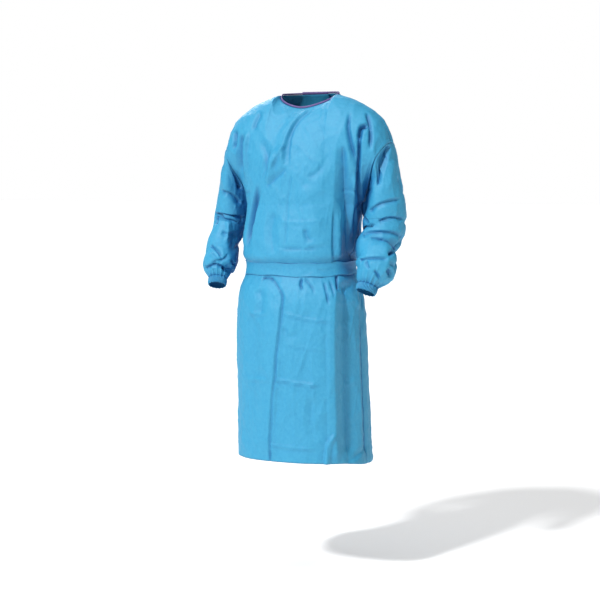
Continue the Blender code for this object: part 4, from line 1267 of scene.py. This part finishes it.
@dataclass
class WaistBelt:
    """The gown's own belt: the flat strip round the waist, its knot at the back and its two ends."""

    form: BodyForm
    wrap: Wrap
    wall: float = 0.0013
    clearance: float = 0.0007
    wander: float = 0.0030
    knot_half_share: float = 0.0385
    tail_width: float = 0.038
    tail_length: float = 0.40
    tail_flat: tuple[float, float] = (0.045, 0.416)
    tail_start: float = 0.0008
    tail_top: float = 0.030
    tail_spread: float = 0.16
    half_back: float = 0.31
    knot_half: tuple[float, float, float] = (0.0150, 0.0085, 0.0170)
    knot_gap: float = 0.0012
    strip_cut: tuple[float, float] = (0.975, 0.043)
    hem: float = 0.0005
    hem_stitch: float = 0.0004
    slack: float = 0.0006
    deepest: float = 0.0010
    stand: float = 0.0005
    pinch_run: float = 0.035
    pinch_share: float = 0.35
    over_wrap: float = 0.0006
    wrap_runs: tuple[float, float, float] = (0.14, 0.12, 0.10)
    tail_fold: float = 0.006
    tail_wave: float = 0.0025
    tail_crumple: float = 0.0008
    tail_pinch: tuple[float, float, float] = (0.35, 0.65, 0.25)
    tail_clear: float = 0.0016
    knot_ball: float = 1.28
    knot_mix: tuple[float, float] = (0.42, 0.58)
    band_slant: tuple[float, float] = (0.9, 0.25)
    band_half: float = 0.42
    groove_at: tuple[float, float] = (0.52, 0.10)

    def lift(self, share: Points, front: bool) -> Points:
        """The belt's stand-off from the body, over the wrap at the back.

        Args:
            share: shares across.
            front: the front rather than the back.

        Returns:
            The stand-off of each point.
        """
        over = SHELL / 2 + self.clearance + self.wall / 2
        if front:
            return np.full(len(share), over)
        row = np.full(len(share), float(self.form.row_at(BELT_MID)))
        free_edge = -self.wrap.reach(self.form, row, True)
        ahead, climb, behind = self.wrap_runs
        on_wrap = ease((share - free_edge + ahead) / climb)
        before = self.wrap.reach(self.form, row, False) + self.wrap.lift_ease + behind
        return over + (WRAP_LIFT + self.over_wrap) * on_wrap * ease((before - share) / self.wrap.lift_ease)

    def hems(self, share: Points, stitch: float) -> Points:
        """How far the two turned and stitched edges stand out, at shares across; stitch is the seam's share."""
        turned = self.hem * (bell(share - 0.02, 0.05) + bell(share - 0.98, 0.05))
        return turned - self.hem_stitch * (bell(share - stitch, 0.03) + bell(share - (1 - stitch), 0.03))

    def ring(self, u: Points, v: Points) -> Points:
        """Points of the strip, from the knot round the left side and the front back to the knot.

        Args:
            u: shares along it.
            v: shares up it.

        Returns:
            The points.
        """
        form = self.form
        row = form.row_at(BELT_LOW) + v * (form.row_at(BELT_HIGH) - form.row_at(BELT_LOW))
        run = self.knot_half_share + u * (4 - 2 * self.knot_half_share)
        at_front = (run > 1) & (run < 3)
        front_share = np.clip(2 - run, -1, 1)
        back_share = np.clip(np.where(run <= 1, run, run - 4), -1, 1)
        plain_front = form.plain(front_share, row, True)
        plain_back = form.plain(back_share, row, False)
        points = np.where(at_front[:, None], plain_front, plain_back)
        away = from_waist(points)
        lift = np.where(at_front, self.lift(front_share, True), self.lift(back_share, False))
        hems = self.hems(v, 0.12)
        slack = self.slack * np.sin(2 * math.pi * (5 * u + 0.6 * v))
        slack = slack + self.slack * np.sin(2 * math.pi * (11 * u - 0.4 * v))
        press = press_of(Area.BELT, points, away)
        pinch = ease(np.minimum(u, 1 - u) / self.pinch_run)
        points[:, 2] += (v - 0.5) * (BELT_LOW - BELT_HIGH) * self.pinch_share * (1 - pinch)
        wave = self.wander * pinch * np.sin(2 * math.pi * (7 * u + 0.35 * v))
        points[:, 2] += wave * np.sin(2 * math.pi * (3 * u + 0.5 * v + 0.2))
        low_tuck = bell(v, 0.12) * ease(0.5 + np.sin(2 * math.pi * 9 * u))
        high_tuck = bell(v - 1, 0.12) * ease(0.5 + np.cos(2 * math.pi * 8 * u))
        tuck = self.wander / 2 * (low_tuck + high_tuck)
        relief = np.maximum(hems + slack - press - tuck, -self.deepest)
        return points + away * (lift + relief + self.stand)[:, None]

    def tail(self, side: Side, u: Points, v: Points) -> Points:
        """A free end of the belt, hanging from the knot down the back.

        Args:
            side: the end's side.
            u: shares across it.
            v: shares down it.

        Returns:
            The points.
        """
        height = BELT_LOW + self.tail_start - v * self.tail_length
        tight, loose, run = self.tail_pinch
        pinch = tight + loose * ease(v / run)
        middle_line = side.value * (self.tail_top + self.tail_spread * v)
        share = middle_line + (u - 0.5) * self.tail_width / self.half_back * pinch
        wave = self.tail_wave * np.sin(2 * math.pi * (1.3 * v + 0.2 * side.value)) ** 2
        fold = self.tail_fold * (1 - ease(v / 0.30)) * (1 + np.cos(2 * math.pi * (u - 0.5))) / 2
        edge = self.hems(u, 0.13)
        crumple = self.tail_crumple * np.sin(2 * math.pi * (3.1 * v + 0.3 * u)) * ease(v / 0.2)
        row = self.form.row_at(height)
        points = self.form.plain(share, row, False)
        away = from_waist(points)
        lift = WRAP_LIFT + SHELL / 2 + self.wall + 3 * self.clearance + self.tail_clear
        return points + away * (lift + wave + fold + edge + crumple)[:, None]

    def knot(self, finish: bpy.types.Material) -> bpy.types.Object:
        """Makes the knot: a soft lump with one band of the belt wound over it.

        Args:
            finish: the material.

        Returns:
            The new object.
        """
        seat = self.form.plain(np.zeros(1), np.array([float(self.form.row_at(BELT_MID))]), False)[0]
        seat = seat + np.array([0, WRAP_LIFT + SHELL / 2 + self.knot_gap, 0])
        half = np.array(self.knot_half)
        mesh = bmesh.new()
        bmesh.ops.create_cube(mesh, size=2.0)
        bmesh.ops.subdivide_edges(mesh, edges=list(mesh.edges), cuts=15, use_grid_fill=True)
        for vertex in mesh.verts:
            flat = np.array(vertex.co)
            ball = flat / np.linalg.norm(flat) * self.knot_ball
            soft = flat * self.knot_mix[0] + ball * self.knot_mix[1]
            over = flat[0] * self.band_slant[0] + flat[2] * self.band_slant[1]
            band = math.exp(-(over / self.band_half) ** 4)
            groove = math.exp(-((abs(over) - self.groove_at[0]) / self.groove_at[1]) ** 2)
            folds = 0.05 * math.sin(9 * flat[2] + 3 * flat[0]) * (1 - band) + 0.03 * math.sin(14 * flat[0]) * band
            scale = 0.90 + 0.10 * band - 0.11 * groove + folds
            vertex.co = seat + half * np.clip(soft * scale, -1.0, 1.0) + np.array([0, half[1], 0])
        for face in mesh.faces:
            face.smooth = True
        made = made_of(mesh, "belt_knot_tied", finish)
        soft = made.modifiers.new("soft", "SUBSURF")
        soft.levels = soft.render_levels = 1
        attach(made, "root")
        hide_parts("belt_knot")
        LOG.info("%s: %d faces", made.name, len(made.data.polygons))
        return made

    def build(self, finish: bpy.types.Material) -> None:
        """Makes the belt's four pieces.

        Args:
            finish: the material.
        """
        Sheet("waist_belt_strip", 460, 14, self.ring, self.strip_cut, "waist_belt", wall=self.wall, held="stretched",
              rests_on=("front_panel_cloth",)).build(finish)
        for side in Side:
            Sheet(f"belt_tail_{side.word}_strip", 12, 110, lambda u, v, s=side: self.tail(s, u, v),
                  self.tail_flat, f"belt_tail_{side.word}", wall=self.wall).build(finish)
        self.knot(finish)


@dataclass(frozen=True)
class Shader:
    """A material's node tree while it is being put together."""

    material: bpy.types.Material

    @classmethod
    def named(cls, name: str) -> "Shader":
        """A new material with its Principled shader.

        Args:
            name: the material's name.

        Returns:
            Its node tree, ready to be put together.
        """
        made = bpy.data.materials.new(name)
        made.use_nodes = True
        return cls(made)

    @property
    def surface(self) -> bpy.types.Node:
        """The Principled shader."""
        return self.material.node_tree.nodes["Principled BSDF"]

    def node(self, kind: str, inputs: dict[str, object] | None = None, **settings: object) -> bpy.types.Node:
        """Adds a node with its settings, values and links.

        Args:
            kind: the node's type.
            inputs: a value or another node's output for each named or numbered input.
            settings: attributes of the node.

        Returns:
            The new node.
        """
        made = self.material.node_tree.nodes.new(kind)
        for key, value in settings.items():
            setattr(made, key, value)
        for key, value in (inputs or {}).items():
            socket = made.inputs[int(key) if key.isdigit() else key]
            if isinstance(value, bpy.types.NodeSocket):
                self.material.node_tree.links.new(value, socket)
            else:
                socket.default_value = value
        return made

    def feed(self, name: str, value: object) -> None:
        """Sets or links one input of the Principled shader.

        Args:
            name: the input's name.
            value: a value or another node's output.
        """
        socket = self.surface.inputs[name]
        if isinstance(value, bpy.types.NodeSocket):
            self.material.node_tree.links.new(value, socket)
        else:
            socket.default_value = value

    def spread(self, value: bpy.types.NodeSocket, span: tuple[float, float]) -> bpy.types.Node:
        """A value spread from a span to the range of 0 to 1."""
        return self.node("ShaderNodeMapRange", {"Value": value, "From Min": span[0], "From Max": span[1]})

    def crossed(self, place: bpy.types.Node, pitch: float) -> bpy.types.Node:
        """Waves crossed over the cut of the cloth, which make rows of dots shifted by half a step.

        Args:
            place: the texture coordinates.
            pitch: the length of a wave in metres.

        Returns:
            The node whose output is the pattern.
        """
        turns = (2 * math.pi / pitch,) * 3
        stretch = self.node("ShaderNodeVectorMath", {"0": place.outputs["UV"], "1": turns}, operation="MULTIPLY")
        split = self.node("ShaderNodeSeparateXYZ", {"Vector": stretch.outputs["Vector"]})
        across = self.node("ShaderNodeMath", {"0": split.outputs["X"]}, operation="SINE")
        along = self.node("ShaderNodeMath", {"0": split.outputs["Y"]}, operation="SINE")
        return self.node("ShaderNodeMath", {"0": across.outputs[0], "1": along.outputs[0]}, operation="MULTIPLY")


def colour_sockets(sockets: bpy.types.bpy_prop_collection) -> list[bpy.types.NodeSocket]:
    """The colour sockets among a node's inputs or outputs."""
    return [socket for socket in sockets if socket.type == "RGBA"]


@dataclass(frozen=True)
class NonwovenFinish:
    """Spunbond nonwoven: a matt, faintly glossy felt of fine fibres, bonded by small dots pressed in rows."""

    name: str = "spunbond_nonwoven"
    light: str = "#3aa0c8"
    deep: str = "#2894c1"
    # fold is a painted shade colour: the base colour darkens to it inside folds and creases
    fold: str = "#04609c"
    fold_shade_reach: float = 0.07
    crease_shade_reach: float = 0.012
    roughness: float = 0.60
    dot_pitch: float = 0.0021
    dot_depth: float = 0.00010
    fibre_depth: float = 0.00006
    cloud: float = 0.009
    fibre: float = 0.0011
    specular: float = 0.60
    roughness_swing: float = 0.06
    cloud_share: float = 0.6
    cloud_span: tuple[float, float] = (0.36, 0.64)
    fold_shade_span: tuple[float, float] = (0.36, 1.0)
    crease_shade_span: tuple[float, float] = (0.30, 0.97)
    dot_span: tuple[float, float] = (0.35, 0.85)

    def build(self) -> bpy.types.Material:
        """Makes the material.

        Returns:
            The material.
        """
        shade = Shader.named(self.name)
        place = shade.node("ShaderNodeTexCoord")
        # cloudy fibre density, which gives the cloth its faint blotches
        cloud = shade.node("ShaderNodeTexNoise", {"Vector": place.outputs["Object"], "Scale": 1 / self.cloud,
                                                  "Detail": 4.0, "Roughness": 0.65})
        fibres = shade.node("ShaderNodeTexNoise", {"Vector": place.outputs["UV"], "Scale": 1 / self.fibre,
                                                   "Detail": 3.0, "Roughness": 0.7, "Distortion": 0.6})
        mixed = shade.node("ShaderNodeMath", {"0": cloud.outputs["Fac"], "1": self.cloud_share}, operation="MULTIPLY")
        both = shade.node("ShaderNodeMath", {"0": fibres.outputs["Fac"], "1": 1 - self.cloud_share,
                                             "2": mixed.outputs[0]}, operation="MULTIPLY_ADD")
        spread = shade.spread(both.outputs[0], self.cloud_span)
        colour = shade.node("ShaderNodeMix", {"Factor": spread.outputs["Result"]}, data_type="RGBA")
        for socket, shown in zip(colour_sockets(colour.inputs), (self.deep, self.light)):
            socket.default_value = linear(shown)
        # painted shade: the base colour darkens towards the deep blue fold colour where ambient occlusion finds a
        # fold
        fold_shade_occlusion = shade.node("ShaderNodeAmbientOcclusion", {"Distance": self.fold_shade_reach}, samples=6)
        depth = shade.spread(fold_shade_occlusion.outputs["AO"], self.fold_shade_span)
        # painted shade as well, in the narrow bottom of a pressed crease
        crease_shade_occlusion = shade.node("ShaderNodeAmbientOcclusion", {"Distance": self.crease_shade_reach}, samples=6)
        thin = shade.spread(crease_shade_occlusion.outputs["AO"], self.crease_shade_span)
        unshaded_share = shade.node("ShaderNodeMath", {"0": depth.outputs["Result"], "1": thin.outputs["Result"]},
                                operation="MULTIPLY")
        folded = shade.node("ShaderNodeMix", {"Factor": unshaded_share.outputs[0]}, data_type="RGBA")
        deepest, unshaded_colour = colour_sockets(folded.inputs)
        deepest.default_value = linear(self.fold)
        shade.material.node_tree.links.new(colour_sockets(colour.outputs)[0], unshaded_colour)
        shade.feed("Base Color", colour_sockets(folded.outputs)[0])
        # rows of bond dots, every other row shifted by half a step
        dots = shade.crossed(place, self.dot_pitch)
        pits = shade.spread(dots.outputs[0], self.dot_span)
        fine = shade.node("ShaderNodeBump", {"Height": fibres.outputs["Fac"], "Distance": self.fibre_depth,
                                             "Strength": 0.8})
        pressed = shade.node("ShaderNodeBump", {"Height": pits.outputs["Result"], "Distance": self.dot_depth,
                                                "Strength": 0.7, "Normal": fine.outputs["Normal"]}, invert=True)
        shade.feed("Normal", pressed.outputs["Normal"])
        sheen = shade.node("ShaderNodeMapRange", {"Value": both.outputs[0],
                                                  "To Min": self.roughness - self.roughness_swing,
                                                  "To Max": self.roughness + self.roughness_swing})
        shade.feed("Roughness", sheen.outputs["Result"])
        shade.feed("Specular IOR Level", self.specular)
        shade.material.diffuse_color = linear(self.light)
        return shade.material


@dataclass(frozen=True)
class TapeFinish:
    """Folded binding tape: a plain close weave with a soft rib, dyed violet."""

    name: str = "violet_binding_tape"
    colour: str = "#64508f"
    thread: float = 0.0006
    thread_depth: float = 0.0001
    mottle: float = 240.0
    mottle_span: tuple[float, float] = (0.82, 1.12)
    roughness: float = 0.62
    sheen: float = 0.2

    def build(self) -> bpy.types.Material:
        """Makes the material.

        Returns:
            The material.
        """
        shade = Shader.named(self.name)
        place = shade.node("ShaderNodeTexCoord")
        weave = shade.crossed(place, self.thread)
        bump = shade.node("ShaderNodeBump", {"Height": weave.outputs[0], "Distance": self.thread_depth,
                                             "Strength": 0.6})
        shade.feed("Normal", bump.outputs["Normal"])
        tone = shade.node("ShaderNodeTexNoise", {"Vector": place.outputs["UV"], "Scale": self.mottle,
                                                 "Detail": 3.0})
        level = shade.node("ShaderNodeMapRange", {"Value": tone.outputs["Fac"], "To Min": self.mottle_span[0],
                                                  "To Max": self.mottle_span[1]})
        tint = shade.node("ShaderNodeVectorMath", {"0": linear(self.colour)[:3]}, operation="SCALE")
        shade.material.node_tree.links.new(level.outputs["Result"], tint.inputs["Scale"])
        shade.feed("Base Color", tint.outputs["Vector"])
        shade.feed("Roughness", self.roughness)
        shade.feed("Sheen Weight", self.sheen)
        shade.material.diffuse_color = linear(self.colour)
        return shade.material


@dataclass
class Studio:
    """The pale floor, the soft lights and the camera at the photograph's viewing angle."""

    floor_height: float = -1.50
    camera_turn: float = PHOTO_SIDE
    camera_distance: float = 5.0
    camera_height: float = -0.22
    aim_height: float = -0.62
    aim_aside: float = -0.0304
    lens: float = 93.75
    sensor: float = 36.0
    floor_size: float = 60.0
    surroundings: float = 0.16

    def floor(self) -> None:
        """A wide plain floor."""
        shade = Shader.named("studio_floor")
        shade.feed("Base Color", linear("#f8f8f8"))
        shade.feed("Roughness", 0.9)
        mesh = bmesh.new()
        bmesh.ops.create_grid(mesh, x_segments=1, y_segments=1, size=self.floor_size)
        bmesh.ops.translate(mesh, verts=mesh.verts, vec=(0, 0, self.floor_height))
        made_of(mesh, "floor", shade.material)

    def sun(self, name: str, turn: float, rise: float, energy: float, size: float) -> None:
        """A distant soft light.

        Args:
            name: the light's name.
            turn: degrees round from the front, towards the gown's left.
            rise: degrees above the horizon.
            energy: its strength.
            size: its angular width in degrees.
        """
        light = bpy.data.lights.new(name, "SUN")
        light.energy = energy
        light.angle = math.radians(size)
        made = bpy.data.objects.new(name, light)
        a, e = math.radians(turn), math.radians(rise)
        back = Vector((math.sin(a) * math.cos(e), -math.cos(a) * math.cos(e), math.sin(e)))
        made.rotation_euler = back.to_track_quat("Z", "Y").to_euler()
        bpy.context.scene.collection.objects.link(made)

    def lights(self) -> None:
        """A key from the front, a weak fill, a broad top light, one from behind and white surroundings."""
        self.sun("key", turn=-17, rise=42, energy=2.7, size=5)
        self.sun("fill", turn=60, rise=58, energy=0.34, size=16)
        self.sun("top", turn=-20, rise=80, energy=0.7, size=50)
        self.sun("back_fill", turn=220, rise=34, energy=1.7, size=20)
        world = bpy.data.worlds.new("white_surroundings")
        bpy.context.scene.world = world
        world.use_nodes = True
        tree = world.node_tree
        shown = tree.nodes["Background"]
        shown.inputs["Color"].default_value = (1, 1, 1, 1)
        shown.inputs["Strength"].default_value = 1.0
        lit = tree.nodes.new("ShaderNodeBackground")
        lit.inputs["Color"].default_value = linear("#ffffff")
        lit.inputs["Strength"].default_value = self.surroundings
        path = tree.nodes.new("ShaderNodeLightPath")
        mix = tree.nodes.new("ShaderNodeMixShader")
        tree.links.new(path.outputs["Is Camera Ray"], mix.inputs["Fac"])
        tree.links.new(lit.outputs["Background"], mix.inputs[1])
        tree.links.new(shown.outputs["Background"], mix.inputs[2])
        tree.links.new(mix.outputs["Shader"], tree.nodes["World Output"].inputs["Surface"])

    def camera(self) -> None:
        """The camera, looking at the gown from the photograph's side."""
        data = bpy.data.cameras.new("camera")
        data.lens = self.lens
        data.sensor_width = self.sensor
        made = bpy.data.objects.new("camera", data)
        turn = math.radians(self.camera_turn)
        right = Vector((math.cos(turn), math.sin(turn), 0))
        away = self.camera_distance
        made.location = (away * math.sin(turn), -away * math.cos(turn), self.camera_height)
        aim = Vector((0, 0, self.aim_height)) + right * self.aim_aside
        made.rotation_euler = (made.location - aim).to_track_quat("Z", "Y").to_euler()
        bpy.context.scene.collection.objects.link(made)
        bpy.context.scene.camera = made

    def build(self) -> None:
        """Makes the studio."""
        self.floor()
        self.lights()
        self.camera()
        bpy.context.scene.view_settings.view_transform = "Standard"


LEFT_SECTIONS = Table(
    ("along", "x", "y", "height", "half_across", "half_fore"),
    (
        (0.00, 0.232, -0.005, -0.215, 0.042, 0.082),
        (0.14, 0.243, -0.006, -0.272, 0.051, 0.079),
        (0.28, 0.256, -0.008, -0.326, 0.063, 0.076),
        (0.42, 0.259, -0.010, -0.370, 0.067, 0.072),
        (0.55, 0.259, -0.028, -0.412, 0.060, 0.064),
        (0.66, 0.230, -0.060, -0.446, 0.042, 0.054),
        (0.77, 0.262, -0.088, -0.482, 0.061, 0.060),
        (0.87, 0.265, -0.110, -0.514, 0.060, 0.058),
        (0.94, 0.255, -0.124, -0.540, 0.043, 0.043),
        (1.00, 0.251, -0.132, -0.557, 0.030, 0.030),
    ),
)
RIGHT_SECTIONS = Table(
    ("along", "x", "y", "height", "half_across", "half_fore"),
    (
        (0.00, 0.232, -0.005, -0.215, 0.042, 0.082),
        (0.14, 0.246, 0.002, -0.272, 0.050, 0.078),
        (0.28, 0.263, 0.006, -0.326, 0.058, 0.074),
        (0.42, 0.276, 0.004, -0.370, 0.059, 0.066),
        (0.55, 0.281, -0.020, -0.412, 0.049, 0.060),
        (0.66, 0.286, -0.046, -0.452, 0.051, 0.056),
        (0.77, 0.277, -0.074, -0.488, 0.052, 0.055),
        (0.87, 0.279, -0.094, -0.516, 0.049, 0.051),
        (0.94, 0.275, -0.104, -0.536, 0.036, 0.037),
        (1.00, 0.273, -0.111, -0.550, 0.027, 0.027),
    ),
)


def main() -> None:
    """Builds the gown's pieces in order, then the studio."""
    logging.basicConfig(level=logging.INFO)
    cloth = NonwovenFinish().build()
    tape = TapeFinish().build()
    form, wrap = BodyForm(), Wrap()
    BodyPanels(form, wrap).build(cloth)
    Sleeve(SleeveForm(Side.LEFT, form, LEFT_SECTIONS), flat=(0.59, 0.65), area=0.191).build(cloth)
    Sleeve(SleeveForm(Side.RIGHT, form, RIGHT_SECTIONS), flat=(0.57, 0.52), area=0.160).build(cloth)
    NeckBinding(form, wrap).build(tape)
    WaistBelt(form, wrap).build(cloth)
    patch_tape = TapeFinish(name="hook_and_loop_tape", colour="#dde4e8", thread=0.0015).build()
    NeckFastener(form).build(patch_tape)
    Studio().build()
    LOG.info("all pieces made")


if __name__ == "__main__":
    main()
